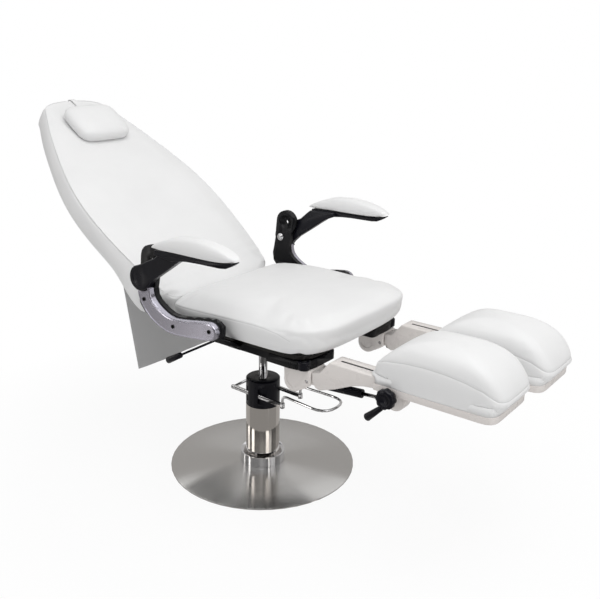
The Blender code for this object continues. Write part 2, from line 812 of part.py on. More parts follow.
def build_sides(seat):
    """On each side a black steel plate, a silver cover on its lower half and the armrest's pivot screw."""
    for side in (-1, 1):
        name = SIDE_NAME[side]
        low, high = side * SIDE_PLATE_IN, side * SIDE_PLATE_OUT
        steel = plate("side_plate_" + name, side_plate_outline(), low, high, BLACK_STEEL)
        recess = cylinder(
            "head_recess_" + name,
            (side * (SIDE_PLATE_IN - 0.01), *HEAD_CENTRE),
            (side * (SIDE_PLATE_IN + 0.004), *HEAD_CENTRE),
            0.024,
            cutter=True,
            sides=20,
        )
        eye = cylinder(
            "head_eye_" + name,
            (side * (SIDE_PLATE_IN - 0.01), *HEAD_CENTRE),
            (side * (SIDE_PLATE_OUT + 0.01), *HEAD_CENTRE),
            0.0075,
            cutter=True,
            sides=16,
        )
        bore = cylinder(
            "pivot_bore_" + name,
            (side * (SIDE_PLATE_IN - 0.01), ARM_AXIS.y, ARM_AXIS.z),
            (side * (SIDE_PLATE_OUT + 0.01), ARM_AXIS.y, ARM_AXIS.z),
            0.0070 + GAP,
            cutter=True,
            sides=16,
        )
        cut(steel, recess, eye, bore)
        set_origin(steel, (side * SIDE_PLATE_IN, ARM_AXIS.y, ARM_AXIS.z))
        keep_parent(steel, seat)

        low, high = side * (SIDE_PLATE_OUT + GAP), side * COVER_OUT
        cover = plate("side_cover_" + name, side_cover_outline(), low, high, SILVER)
        hollow = plate(
            "cover_hollow_" + name,
            [(0.172, 0.602), (0.142, 0.570), (0.100, 0.546), (0.040, 0.538), (-0.085, 0.554)]
            + [(-0.100, 0.570), (-0.090, 0.584), (0.010, 0.570), (0.060, 0.567), (0.130, 0.596)],
            side * (SIDE_PLATE_OUT - 0.01),
            side * (COVER_OUT - 0.003),
            SILVER,
            cutter=True,
        )
        cut(cover, hollow)
        set_origin(cover, (side * SIDE_PLATE_OUT, 0.040, 0.565))
        keep_parent(cover, seat)

        screw = cylinder(
            "armrest_screw_" + name,
            (side * (SIDE_PLATE_IN - 0.0008), ARM_AXIS.y, ARM_AXIS.z),
            (side * (ARM_HUB_OUT - 0.010), ARM_AXIS.y, ARM_AXIS.z),
            0.0070,
            CHROME,
            sides=16,
        )
        head = cylinder(
            "screw_head_" + name,
            (side * (SIDE_PLATE_IN - 0.0040), ARM_AXIS.y, ARM_AXIS.z),
            (side * (SIDE_PLATE_IN - GAP), ARM_AXIS.y, ARM_AXIS.z),
            0.0125,
            cutter=True,
            sides=16,
        )
        join(screw, head)
        set_origin(screw, (side * SIDE_PLATE_IN, ARM_AXIS.y, ARM_AXIS.z))
        keep_parent(screw, seat)


def build_recline_lever(seat):
    """The release lever under the near side of the seat."""
    pivot = Vector((-0.2405, -0.030, 0.5070))
    axis = empty("recline_lever_axis", pivot, parent=seat)
    bend = Vector((-0.262, -0.030, 0.5070))
    grip_start, grip_end = Vector((-0.262, 0.100, 0.4313)), Vector((-0.262, 0.158, 0.3980))
    path = [pivot + Vector((-GAP, 0, 0)), bend, grip_start + Vector((0, 0.02, -0.0114))]
    lever = wire("recline_lever", rounded(path, 0.008, 3), 0.0036, BLACK, sides=8)
    grip = cylinder("lever_grip", grip_start, grip_end, 0.0085, BLACK, True, 14, 0.003, 0.0105)
    join(lever, grip)
    set_origin(lever, pivot)
    keep_parent(lever, axis)


# ---------------------------------------------------------------- back
BACK_WIDTHS = [
    (-0.020, 0.205),
    (0.000, 0.226),
    (0.040, 0.245),
    (0.100, 0.262),
    (0.170, 0.273),
    (0.250, 0.282),
    (0.350, 0.289),
    (0.430, 0.286),
    (0.500, 0.275),
    (0.580, 0.252),
    (0.660, 0.226),
    (0.740, 0.197),
    (0.810, 0.166),
    (0.860, 0.138),
]


STRAP_HALF = 0.011
BOARD_SPAN = (0.040, BACK_LENGTH - 0.050)  # the square-cut ends of the board behind the back
CORNER_SWELL = [(0.020, 0.0), (0.045, 1.0), (0.120, 1.0), (0.200, 0.0)]
BACK_WIDTHS_REAR = [
    (-0.020, 0.205),
    (0.000, 0.222),
    (0.029, 0.236),
    (0.041, 0.282),
    (0.055, 0.293),
    (0.085, 0.2955),
    (0.130, 0.291),
    (0.200, 0.281),
    (0.270, 0.283),
    (0.350, 0.289),
] + BACK_WIDTHS[7:]


def back_outline(count, start, inset, rear=0.0):
    """The back's outline in (x, along): shield-shaped, round at the top, its rear wider at the lower corners."""
    top_from = BACK_LENGTH - 0.055
    end = BACK_LENGTH - inset
    half = []
    sides = count // 2
    steps_top = sides // 3
    steps_side = sides - steps_top
    places = [start, start + (0.029 - start) * 0.6, 0.029, 0.041, 0.055, 0.085, 0.130]
    left = steps_side - len(places)
    places += [places[-1] + (top_from - places[-1]) * (i + 1) / left for i in range(left)]
    for along in places:
        width = between(BACK_WIDTHS, along) * (1 - rear) + between(BACK_WIDTHS_REAR, along) * rear - inset
        # the lower corners are rounded
        into = max(0.0, 1 - (along - start) / 0.055)
        width -= 0.050 * (1 - rear) * into**2.4
        half.append((width, along))
    last_width = half[-1][0]
    for i in range(1, steps_top + 1):
        turn = (pi / 2) * i / (steps_top + 0.5)
        half.append((last_width * cos(turn) ** 0.8, top_from + (end - top_from) * sin(turn)))
    return half + [(-u, v) for u, v in reversed(half)]


def build_back(seat):
    axis = empty("back_axis", BACK_AXIS, (RECLINE, 0.0, 0.0))
    count = 52

    def local(u, along, out):
        return (u, along - BACK_START, out + BACK_FACE)

    def end_at(out):
        """Where the lower end must begin for the back to turn clear of the seat."""
        reach = BACK_FACE**2 - (out + BACK_FACE) ** 2
        return BACK_START - max(0.0, reach) ** 0.5

    side_rings = [
        # height from the front face, inset, share of the rear's outline, thickening of the lower corners
        (-0.0850, 0.022, 1.0, 0.0),
        (-0.0770, 0.004, 1.0, 0.0100),
        (-0.0520, 0.001, 0.8, 0.0050),
        (-0.0200, 0.002, 0.3, 0.0),
        (-0.0110, 0.0055, 0.1, 0.0),
        (-0.0080, 0.0085, 0.0, 0.0),
        (-0.0060, 0.0072, 0.0, 0.0),
    ]
    loops = []
    for out, inset, rear, more in side_rings:
        start = end_at(out) + inset * 0.5
        if out < -0.07:
            start = 0.004 + (abs(out) - 0.07) * 0.8 + inset * 0.6
        start = min(start, 0.024)
        loop = back_outline(count, start, inset, rear)
        loops.append([local(u, v, out - more * between(CORNER_SWELL, v)) for u, v in loop])
    edge = back_outline(count, end_at(-0.006) + 0.006, 0.0075)
    middle = 0.42
    for share, rise in ((0.95, 0.50), (0.85, 0.86), (0.64, 1.0), (0.34, 1.0)):
        loop = []
        for u, v in edge:
            along = middle + (v - middle) * share
            swell = 0.008 * (2.718 ** (-(((along - 0.30) / 0.16) ** 2))) * (1 - share**4)
            loop.append(local(u * share, along, -0.0060 + 0.0060 * rise + swell))
        loops.append(loop)
    cushion = rings("back_cushion", loops, VINYL)
    put_in(cushion, axis)

    board = plate(
        "back_board",
        [
            (u, v - BACK_START)
            for u, v in back_outline(36, 0.020, 0.030)
            if BOARD_SPAN[0] < v < BOARD_SPAN[1]
        ],
        BACK_FACE - BACK_THICK - 0.012,
        BACK_FACE - BACK_THICK - 0.0006,
        VINYL,
        axis="Z",
        rim=0.002,
    )
    put_in(board, axis)
    build_back_hinges(axis)
    build_pillow(axis)
    return axis


def build_back_hinges(axis):
    """A steel strap each side, from the recline axis round under the back, and its pin."""
    for side in (-1, 1):
        name = SIDE_NAME[side]
        low, high = sorted((side * HINGE_IN, side * HINGE_OUT))
        under = BACK_FACE - BACK_THICK - 0.0125
        outline = arc((0.0, 0.0), 0.0130, 0, 180, 8)
        outline += [(-0.0130, under - 0.004), (-0.0105, under - 0.0065), (0.0135, under - 0.0065)]
        strap = plate("back_hinge_" + name, outline, low, high, BLACK_STEEL)
        # plate() takes (y, z) for axis X, which here are along the back and out of it
        root = box(
            "hinge_root_" + name,
            (side * 0.1650, -0.0090, under - 0.0060),
            (side * (HINGE_OUT - 0.0010), 0.0120, under - 0.0003),
            cutter=True,
        )
        foot = box(
            "hinge_foot_" + name,
            (side * 0.1640, 0.0000, under - 0.0055),
            (side * 0.2000, 0.0800, under - 0.0004),
            cutter=True,
        )
        bore = cylinder(
            "hinge_bore_" + name,
            (side * (HINGE_IN - 0.01), 0, 0),
            (side * (HINGE_OUT + 0.01), 0, 0),
            0.0063,
            cutter=True,
            sides=12,
        )
        join(strap, root, foot)
        cut(strap, bore)
        for obj in (strap, root, foot, bore):
            put_in(obj, axis)
        pin = cylinder(
            "back_pin_" + name,
            (side * (HINGE_IN - 0.0015), BACK_AXIS.y, BACK_AXIS.z),
            (side * (LUG_OUT + 0.0015), BACK_AXIS.y, BACK_AXIS.z),
            0.0060,
            CHROME,
            sides=12,
        )
        set_origin(pin, (side * HINGE_OUT, BACK_AXIS.y, BACK_AXIS.z))


def build_pillow(axis):
    """The head pillow and the strap that holds it over the top of the back."""
    count = 30
    low, high = BACK_LENGTH - 0.238, BACK_LENGTH - 0.078
    half = 0.107
    loops = []
    for out, inset in ((0.0012, 0.018), (0.0080, 0.004), (0.0220, 0.000), (0.0360, 0.0035)):
        loop = soft_rectangle(half - inset, low + inset, high - inset, 4.5, count)
        loops.append([(u, v - BACK_START, out + BACK_FACE) for u, v in loop])
    edge = soft_rectangle(half - 0.004, low + 0.004, high - 0.004, 4.5, count)
    middle = (low + high) / 2
    for share, rise in ((0.88, 0.50), (0.66, 0.85), (0.34, 1.0)):
        loop = []
        for u, v in edge:
            loop.append((u * share, middle + (v - middle) * share - BACK_START, 0.0370 + 0.018 * rise + BACK_FACE))
        loops.append(loop)
    put_in(rings("head_pillow", loops, VINYL), axis)

    # the way along is counted from the back's top end
    path = [(-0.0765, 0.0022), (-0.0500, 0.0012), (-0.0300, -0.0008), (-0.0120, -0.0034), (-0.0015, -0.0075)]
    path += [(0.0025, -0.0140), (0.0030, -0.0350), (0.0030, -0.0600), (0.0005, -0.0800), (-0.0130, -0.0950)]
    path += [(-0.0320, -0.1000), (-0.1100, -0.1000), (-0.1900, -0.1000)]
    path = [(BACK_LENGTH + along, out) for along, out in path]
    strap = strip("pillow_strap", path, STRAP_HALF, 0.0014)
    strap.data.transform(Matrix.Translation((STRAP_HALF, 0.0, 0.0)))
    put_in(strap, axis)


def strip(name, path, half, thick):
    """A band of (along, out) points across X, given thickness outwards."""
    bm = bmesh.new()
    rows = []
    for along, out in path:
        rows.append([bm.verts.new((u * half, along - BACK_START, out + BACK_FACE)) for u in (-1, 0, 1)])
    for lower, upper in zip(rows, rows[1:]):
        for i in range(2):
            bm.faces.new((lower[i], lower[i + 1], upper[i + 1], upper[i]))
    mesh = bpy.data.meshes.new(name)
    bm.to_mesh(mesh)
    bm.free()
    obj = bpy.data.objects.new(name, mesh)
    link(obj, VINYL)
    obj.data.shade_smooth()
    solid = obj.modifiers.new("solidify", "SOLIDIFY")
    solid.thickness = thick
    solid.offset = 1.0
    return obj


def build_flap():
    """The vinyl apron that hangs behind the seat, under the back."""
    top = Vector((0.0, 0.3700, 0.6120))
    axis = empty("flap_axis", top)
    rows, columns = 5, 6
    bpy.ops.mesh.primitive_grid_add(x_subdivisions=columns, y_subdivisions=rows, size=2.0)
    obj = bpy.context.object
    obj.name = "rear_flap"
    bottom = 0.286
    for vert in obj.data.vertices:
        u, v = vert.co.x, (1 - vert.co.y) / 2
        half = 0.244 - 0.054 * v
        wave = 0.004 * sin(u * 5.0) * v
        vert.co = (u * half, top.y + wave, top.z + (bottom - top.z) * v)
    link(obj, VINYL)
    obj.data.shade_smooth()
    solid = obj.modifiers.new("solidify", "SOLIDIFY")
    solid.thickness = 0.0018
    solid.offset = 0.0
    set_origin(obj, top)
    keep_parent(obj, axis)


def build_back_spring(seat, axis):
    """The locking gas spring that sets the back's angle, its clevis on the back and its hanger on the frame."""
    x = BACK_SPRING_X
    under = BACK_FACE - BACK_THICK - 0.0125
    turn = BACK_SPRING_TURN - RECLINE
    tip = (BACK_SPRING_LEVER * cos(turn), BACK_SPRING_LEVER * sin(turn))
    outline = arc(tip, 0.0150, 60, 290, 8)
    outline += [(0.060, under - 0.016), (0.110, under - 0.006), (0.110, under - 0.0003), (0.020, under - 0.0003)]
    clevis = plate("back_clevis", outline, x - 0.0120, x - 0.0070, BLACK_STEEL)
    twin = plate("clevis_twin", outline, x + 0.0070, x + 0.0120, BLACK_STEEL, cutter=True)
    web = box("clevis_web", (x - 0.0100, 0.040, under - 0.0065), (x + 0.0100, 0.108, under - 0.0003), cutter=True)
    join(clevis, twin, web)
    for obj in (clevis, twin, web):
        put_in(obj, axis)

    front, rear = BACK_SPRING_FRONT, back_spring_rear()
    run = (rear - front).normalized()
    across = Vector((1, 0, 0))
    swing = empty("back_spring_axis", front)
    barrel = cylinder("back_spring_barrel", front + run * 0.016, front + run * 0.205, 0.0110, BLACK, sides=16)
    lug = cylinder("spring_lug", front - across * 0.005, front + across * 0.005, 0.0110, cutter=True, sides=16)
    shank = cylinder("spring_shank", front + run * 0.006, front + run * 0.020, 0.0060, cutter=True, sides=12)
    eye = cylinder("spring_eye", front - across * 0.02, front + across * 0.02, 0.0053, cutter=True, sides=12)
    throat = cylinder("spring_throat", front + run * 0.076, front + run * 0.24, 0.0053, cutter=True, sides=12)
    join(barrel, lug, shank)
    cut(barrel, eye, throat)
    set_origin(barrel, front)
    keep_parent(barrel, swing)
    rod = cylinder("back_spring_rod", front + run * 0.120, rear - run * 0.008, 0.0048, CHROME, sides=12)
    ring = cylinder("rod_ring", rear - across * 0.005, rear + across * 0.005, 0.0110, cutter=True, sides=16)
    stub = cylinder("rod_ring_pin", rear - across * 0.0065, rear + across * 0.0065, 0.0050, cutter=True, sides=12)
    join(rod, ring, stub)
    set_origin(rod, rear)
    keep_parent(rod, swing)

    top = FRAME_BOTTOM - GAP
    outline = [(-0.143, top), (-0.112, top), (front.y + 0.0125, front.z + 0.004)]
    outline += arc((front.y, front.z), 0.0125, -10, -170, 6) + [(front.y - 0.0125, front.z + 0.004)]
    hanger = plate("spring_hanger", outline, x - 0.0120, x - 0.0070, BLACK_STEEL)
    twin = plate("hanger_twin", outline, x + 0.0070, x + 0.0120, BLACK_STEEL, cutter=True)
    flange = box("hanger_flange", (x - 0.020, -0.143, top - 0.005), (x + 0.020, -0.112, top), cutter=True)
    pin = cylinder("hanger_pin", front - across * 0.011, front + across * 0.011, 0.0050, cutter=True, sides=12)
    join(hanger, twin, flange, pin)
    set_origin(hanger, seat.location)
    keep_parent(hanger, seat)


def back_spring_rear():
    """The place of the pin through the spring's rod, on the back's clevis."""
    turned_by = Vector((0.0, cos(BACK_SPRING_TURN), sin(BACK_SPRING_TURN)))
    return Vector((BACK_SPRING_X, BACK_AXIS.y, BACK_AXIS.z)) + turned_by * BACK_SPRING_LEVER


# ---------------------------------------------------------------- armrests
def armrest_outlines():
    """Side views of an armrest's black carrier: the hub with its web, and the rail under the pad."""
    hub = arc((ARM_AXIS.y, ARM_AXIS.z), ARM_HUB_RADIUS, 76, -152, 14)
    lower = [(0.1180, 0.6790), (0.0650, 0.7150), (0.0320, 0.7385), (0.0050, 0.7565), (-0.0150, 0.7655)]
    upper = [(-0.0280, 0.7700), (-0.0280, 0.7840), (0.0000, 0.7840), (0.0680, 0.7790), (0.0840, 0.7660)]
    web = hub + lower + upper + [(0.1060, 0.7465), (0.1380, 0.7320), (0.1600, 0.7200)]
    start = [(0.0720, 0.7690), (0.0060, 0.7620), (-0.0150, 0.7665)]
    under = [(-0.0500, 0.7712), (-0.0900, 0.7735), (-0.1650, 0.7737), (-0.1830, 0.7757), (-0.1990, 0.7840)]
    tip = [(-0.2150, 0.7945), (-0.2135, 0.7962), (-0.2000, 0.7908), (-0.1800, 0.7880), (-0.1000, 0.7875)]
    rail = start + under + tip + [(-0.0500, 0.7880), (0.0000, 0.7870), (0.0720, 0.7823)]
    return web, rail


def build_armrests():
    for side in (-1, 1):
        name = SIDE_NAME[side]
        axis = empty("armrest_axis_" + name, (side * SIDE_PLATE_OUT, ARM_AXIS.y, ARM_AXIS.z))
        inner, outer = SIDE_PLATE_OUT + 0.0040, ARM_HUB_OUT
        low, high = side * inner, side * outer
        web, rail_outline = armrest_outlines()
        carrier = plate("armrest_carrier_" + name, web, low, high, BLACK, rim=0.003)
        hub = cylinder(
            "armrest_hub_" + name,
            (side * (SIDE_PLATE_OUT + GAP), ARM_AXIS.y, ARM_AXIS.z),
            (side * (outer - 0.004), ARM_AXIS.y, ARM_AXIS.z),
            ARM_HUB_RADIUS,
            BLACK,
            cutter=True,
            sides=24,
        )
        dish = cylinder(
            "armrest_dish_" + name,
            (side * (outer - 0.0015), ARM_AXIS.y, ARM_AXIS.z),
            (side * (outer + 0.01), ARM_AXIS.y, ARM_AXIS.z),
            0.024,
            cutter=True,
            sides=20,
        )
        bore = cylinder(
            "armrest_bore_" + name,
            (side * (SIDE_PLATE_OUT - 0.01), ARM_AXIS.y, ARM_AXIS.z),
            (side * (outer - 0.009), ARM_AXIS.y, ARM_AXIS.z),
            0.0070 + GAP,
            cutter=True,
            sides=16,
        )
        rail = plate(
            "armrest_rail_" + name,
            rail_outline,
            side * (ARMREST_X - 0.020),
            side * (ARMREST_X + 0.020),
            BLACK,
            cutter=True,
            rim=0.003,
        )
        for vert in rail.data.vertices:
            share = between([(-0.216, 0.30), (-0.190, 0.62), (-0.150, 0.90), (-0.110, 1.0)], vert.co.y)
            vert.co.x = side * ARMREST_X + (vert.co.x - side * ARMREST_X) * share
        join(carrier, hub, rail)
        cut(carrier, dish, bore)
        set_origin(carrier, axis.location)
        keep_parent(carrier, axis)
        pad = armrest_pad(side, name)
        set_origin(pad, axis.location)
        keep_parent(pad, axis)


def armrest_pad(side, name):
    """A leaf-shaped pad, thickest over its rear half, that follows the rail's top."""
    count = 26
    low, high = -0.2200, 0.0940
    base = [(-0.2200, 0.8010), (-0.2050, 0.7955), (-0.1900, 0.7925), (-0.1600, 0.7905), (-0.1000, 0.7897)]
    base += [(-0.0500, 0.7902), (0.0000, 0.7892), (0.0500, 0.7865), (0.0940, 0.7840)]
    crown = [(-0.2200, 0.8040), (-0.2100, 0.8120), (-0.1846, 0.8232), (-0.1462, 0.8326), (-0.0878, 0.8378)]
    crown += [(-0.0285, 0.8345), (0.0118, 0.8270), (0.0527, 0.8138), (0.0816, 0.7985), (0.0940, 0.7880)]
    loops = []
    for share, lift in ((0.90, 0.0), (1.0, 0.22), (0.985, 0.45), (0.94, 0.60), (0.86, 0.76)):
        loop = []
        for u, v in soft_rectangle(ARMREST_HALF, low, high, 2.9, count):
            middle = (low + high) / 2
            at = middle + (v - middle) * (share * 0.3 + 0.7 if share < 1 else 1)
            floor, roof = between(base, at), between(crown, at)
            loop.append((side * ARMREST_X + u * share, at, floor + (roof - floor) * lift))
        loops.append(loop)
    for share, lift in ((0.70, 0.90), (0.38, 0.99)):
        loop = []
        for u, v in soft_rectangle(ARMREST_HALF, low, high, 2.9, count):
            middle = (low + high) / 2
            at = middle + (v - middle) * share
            floor, roof = between(base, at), between(crown, at)
            loop.append((side * ARMREST_X + u * share, at, floor + (roof - floor) * lift))
        loops.append(loop)
    return rings("armrest_pad_" + name, loops, VINYL)


# ---------------------------------------------------------------- leg rests
def leg_knuckle_outline():
    """Side view of the white casting: a round drum at the rear, a flat top and a flat front."""
    lobe = arc((-0.2870, 0.4430), 0.0305, 10, -118, 9)
    return lobe + [(-0.3300, 0.4330), (-0.3462, 0.4440), (-0.3462, 0.4867), (-0.2620, 0.4867), (-0.2560, 0.4800)]


def leg_arm_outline():
    front = [(LEG_ARM_FRONT, LEG_ARM_TOP), (LEG_ARM_FRONT, 0.4960)]
    lower = [(-0.5550, 0.4955), (-0.5100, 0.4895), (-0.4770, 0.4805), (-0.4240, 0.4560), (-0.3950, 0.4450)]
    rear = [(-0.3720, 0.4370), (-0.3600, 0.4415), (-0.3485, 0.4600), (-0.3475, 0.4855), (-0.3720, 0.4880)]
    rear += [(-0.4040, LEG_ARM_TOP)]
    return front + lower + rear


def build_leg(side):
    name = SIDE_NAME[side]
    x = side * LEG_X

    def at(point):
        return Vector((x + point.x, point.y, point.z))

    def across(point, low, high, radius, label, mat=CHROME, cutter=True, sides=16, round_off=0.0):
        """A cylinder along X through a point, between two distances outward from the leg's middle."""
        first = Vector((x + side * low, point.y, point.z))
        last = Vector((x + side * high, point.y, point.z))
        return cylinder(label + "_" + name, first, last, radius, mat, cutter, sides, round_off)

    swing = empty("leg_swing_" + name, (x, LEG_SWING_Y, BRACKET_BOTTOM))
    # casting
    half = 0.036
    knuckle = plate("leg_knuckle_" + name, leg_knuckle_outline(), x - half, x + half, WHITE, rim=0.003)
    pocket = box(
        "knuckle_pocket_" + name, (x - 0.0275, -0.352, 0.380), (x + 0.0275, -0.2850, 0.4685), cutter=True
    )
    bolt_bore = cylinder(
        "knuckle_bore_" + name, (x, LEG_SWING_Y, 0.4725), (x, LEG_SWING_Y, 0.50), 0.0063, cutter=True, sides=16
    )
    dish_outer = across(Vector((0, -0.2870, 0.4480)), half - 0.002, half + 0.02, 0.0220, "dish_outer", sides=16)
    dish_inner = across(Vector((0, -0.2870, 0.4480)), -half - 0.02, -half + 0.002, 0.0220, "dish_inner", sides=16)
    hinge_bore = across(LEG_HINGE, -0.05, 0.05, 0.0053, "knuckle_hinge_bore")
    cut(knuckle, pocket, bolt_bore, dish_outer, dish_inner, hinge_bore)
    set_origin(knuckle, swing.location)
    keep_parent(knuckle, swing)

    tilt = empty("leg_tilt_" + name, at(LEG_HINGE), parent=swing)
    pin = across(LEG_HINGE, -0.0352, 0.0352, 0.0050, "leg_hinge_pin", CHROME, cutter=False)
    set_origin(pin, at(LEG_HINGE))
    keep_parent(pin, swing)

    # arm: a channel open below, slotted on top, with a round lug under its front end
    half = LEG_ARM_HALF
    arm = plate("leg_arm_" + name, leg_arm_outline(), x - half, x + half, WHITE, rim=0.0025)
    cavity = box("arm_cavity_" + name, (x - 0.0260, -0.700, 0.3900), (x + 0.0260, -0.4080, 0.5205), cutter=True)
    rear_cavity = box("arm_rear_cavity_" + name, (x - 0.0160, -0.410, 0.3900), (x + 0.0160, -0.330, 0.4800), cutter=True)
    slot = plate(
        "arm_slot_" + name,
        rounded_outline([(x - 0.0045, -0.640), (x + 0.0045, -0.640), (x + 0.0045, -0.421), (x - 0.0045, -0.421)], 0.004, 3),
        0.50,
        0.54,
        WHITE,
        axis="Z",
        cutter=True,
    )
    tongues = []
    for inner, outer, label in ((-0.0265, -0.0165, "tongue_in"), (0.0165, 0.0265, "tongue_out")):
        tongues.append(across(LEG_HINGE, inner, outer, 0.0120, label, sides=14))
        first, last = sorted((x + side * inner, x + side * outer))
        tongues.append(
            box(label + "_root_" + name, (first, -0.3560, 0.4460), (last, LEG_HINGE.y, 0.4660), cutter=True)
        )
    lug = across(LUG_CENTRE, -0.0160, 0.0160, LUG_RADIUS, "arm_lug", sides=22)
    lug_neck = box("lug_neck_" + name, (x - 0.0290, -0.612, 0.4870), (x + 0.0290, -0.575, 0.4980), cutter=True)
    boss = across(KNOB_AXIS, 0.0100, 0.0312, 0.0105, "knob_boss", sides=14)
    lug_slot = box("lug_slot_" + name, (x - 0.0062, -0.594, 0.4300), (x + 0.0062, -0.540, 0.4800), cutter=True)
    hinge_bore = across(LEG_HINGE, -0.05, 0.05, 0.0053, "tongue_bore")
    knob_bore = across(KNOB_AXIS, 0.0120, 0.06, 0.0053, "knob_bore")
    lever_bore = across(LEVER_AXIS, 0.0100, 0.05, 0.0043, "lever_bore", sides=12)
    lug_top = box("lug_top_" + name, (x - 0.0200, -0.640, 0.4980), (x + 0.0200, -0.560, 0.5100), cutter=True)
    cut(arm, cavity, rear_cavity)
    cut(lug, lug_top)
    join(arm, *tongues, lug, lug_neck, boss)
    # the lug carries the pin that the spring's rod pulls on
    rod_pin = across(SPRING_FRONT, -0.0120, 0.0090, 0.0030, "rod_pin", sides=12)
    cut(arm, slot, lug_slot, hinge_bore, knob_bore, lever_bore)
    join(arm, rod_pin)
    set_origin(arm, at(LEG_HINGE))
    keep_parent(arm, tilt)

    build_leg_spring(side, name, at, across, tilt)
    build_leg_controls(side, name, at, across, tilt)
    build_leg_tray(side, name, x, tilt)


def build_leg_spring(side, name, at, across, tilt):
    """The gas spring under the arm: a chrome rod pinned in the lug, and a black barrel held in the casting."""
    run = (SPRING_FRONT - SPRING_REAR).normalized()
    axis = empty("leg_spring_axis_" + name, at(SPRING_FRONT), parent=tilt)
    barrel = cylinder(
        "leg_spring_barrel_" + name,
        at(SPRING_REAR + run * 0.042),
        at(SPRING_REAR + run * 0.190),
        0.0122,
        BLACK,
        sides=16,
    )
    lug = across(SPRING_REAR, -0.0060, 0.0060, 0.0105, "barrel_lug", sides=14)
    neck = cylinder(
        "barrel_neck_" + name,
        at(SPRING_REAR + run * 0.006),
        at(SPRING_REAR + run * 0.046),
        0.0062,
        cutter=True,
        sides=10,
    )
    stub = across(SPRING_REAR, -0.0262, 0.0262, 0.0045, "barrel_pin", sides=10)
    throat = cylinder(
        "barrel_throat_" + name,
        at(SPRING_REAR + run * 0.110),
        at(SPRING_REAR + run * 0.22),
        0.0053,
        cutter=True,
        sides=12,
    )
    join(barrel, lug, neck, stub)
    cut(barrel, throat)
    set_origin(barrel, at(SPRING_REAR))
    keep_parent(barrel, axis)
    rod = cylinder(
        "leg_spring_rod_" + name,
        at(SPRING_REAR + run * 0.140),
        at(SPRING_FRONT - run * 0.004),
        0.0050,
        CHROME,
        sides=14,
    )
    ring = across(SPRING_FRONT, -0.0050, 0.0050, 0.0085, "rod_eye", sides=16)
    hole = across(SPRING_FRONT, -0.02, 0.02, 0.0048, "rod_eye_bore", sides=12)
    join(rod, ring)
    cut(rod, hole)
    set_origin(rod, at(SPRING_FRONT))
    keep_parent(rod, axis)


def build_leg_controls(side, name, at, across, tilt):
    """The lobed clamp knob on the outer side of the arm, and the spring's release lever below it."""
    lobes = 8
    outline = []
    for i in range(lobes * 4):
        angle = 2 * pi * i / (lobes * 4)
        radius = 0.0262 + 0.0020 * cos(lobes * angle)
        outline.append((KNOB_AXIS.y + radius * cos(angle), KNOB_AXIS.z + radius * sin(angle)))
    centre = at(KNOB_AXIS)
    low, high = centre.x + side * 0.0405, centre.x + side * 0.0620
    axis = empty("knob_axis_" + name, centre + Vector((side * 0.050, 0, 0)), parent=tilt)
    knob = plate("leg_knob_" + name, outline, low, high, BLACK, rim=0.003)
    stem = across(KNOB_AXIS, 0.0175, 0.0415, 0.0050, "knob_stem", sides=12)
    dish = across(KNOB_AXIS, 0.0605, 0.07, 0.0150, "knob_dish", sides=16)
    join(knob, stem)
    cut(knob, dish)
    set_origin(knob, axis.location)
    keep_parent(knob, axis)

    pivot = LEVER_AXIS
    axis = empty("leg_lever_axis_" + name, at(pivot) + Vector((side * 0.022, 0, 0)), parent=tilt)
    middle = at(pivot) + Vector((side * 0.0215, 0, 0))
    run = Vector((0.0, 0.725, -0.689))
    lever = across(pivot, 0.0120, 0.0260, 0.0040, "leg_lever", BLACK, cutter=False, sides=12)
    disc = across(pivot, 0.0165, 0.0260, 0.0085, "lever_disc", sides=16)
    stalk = cylinder("lever_stalk_" + name, middle, middle + run * 0.045, 0.0036, cutter=True, sides=10)
    grip = cylinder(
        "lever_handle_" + name,
        middle + run * 0.026,
        middle + run * 0.090,
        0.0070,
        BLACK,
        True,
        12,
        0.003,
        0.0112,
    )
    join(lever, disc, stalk, grip)
    set_origin(lever, axis.location)
    keep_parent(lever, axis)


def tray_outline(side, inset, out, length=TRAY_LENGTH):
    """Plan of a leg rest's tray, drawn in by an inset, in (x, y)."""
    first, last = side * TRAY_X - TRAY_HALF + inset, side * TRAY_X + TRAY_HALF - inset
    rear, front = TRAY_REAR - out - inset, TRAY_REAR - out - length + inset
    corners = [(first, rear), (last, rear), (last, front), (first, front)]
    return rounded_outline(corners, 0.034 - inset, 4)


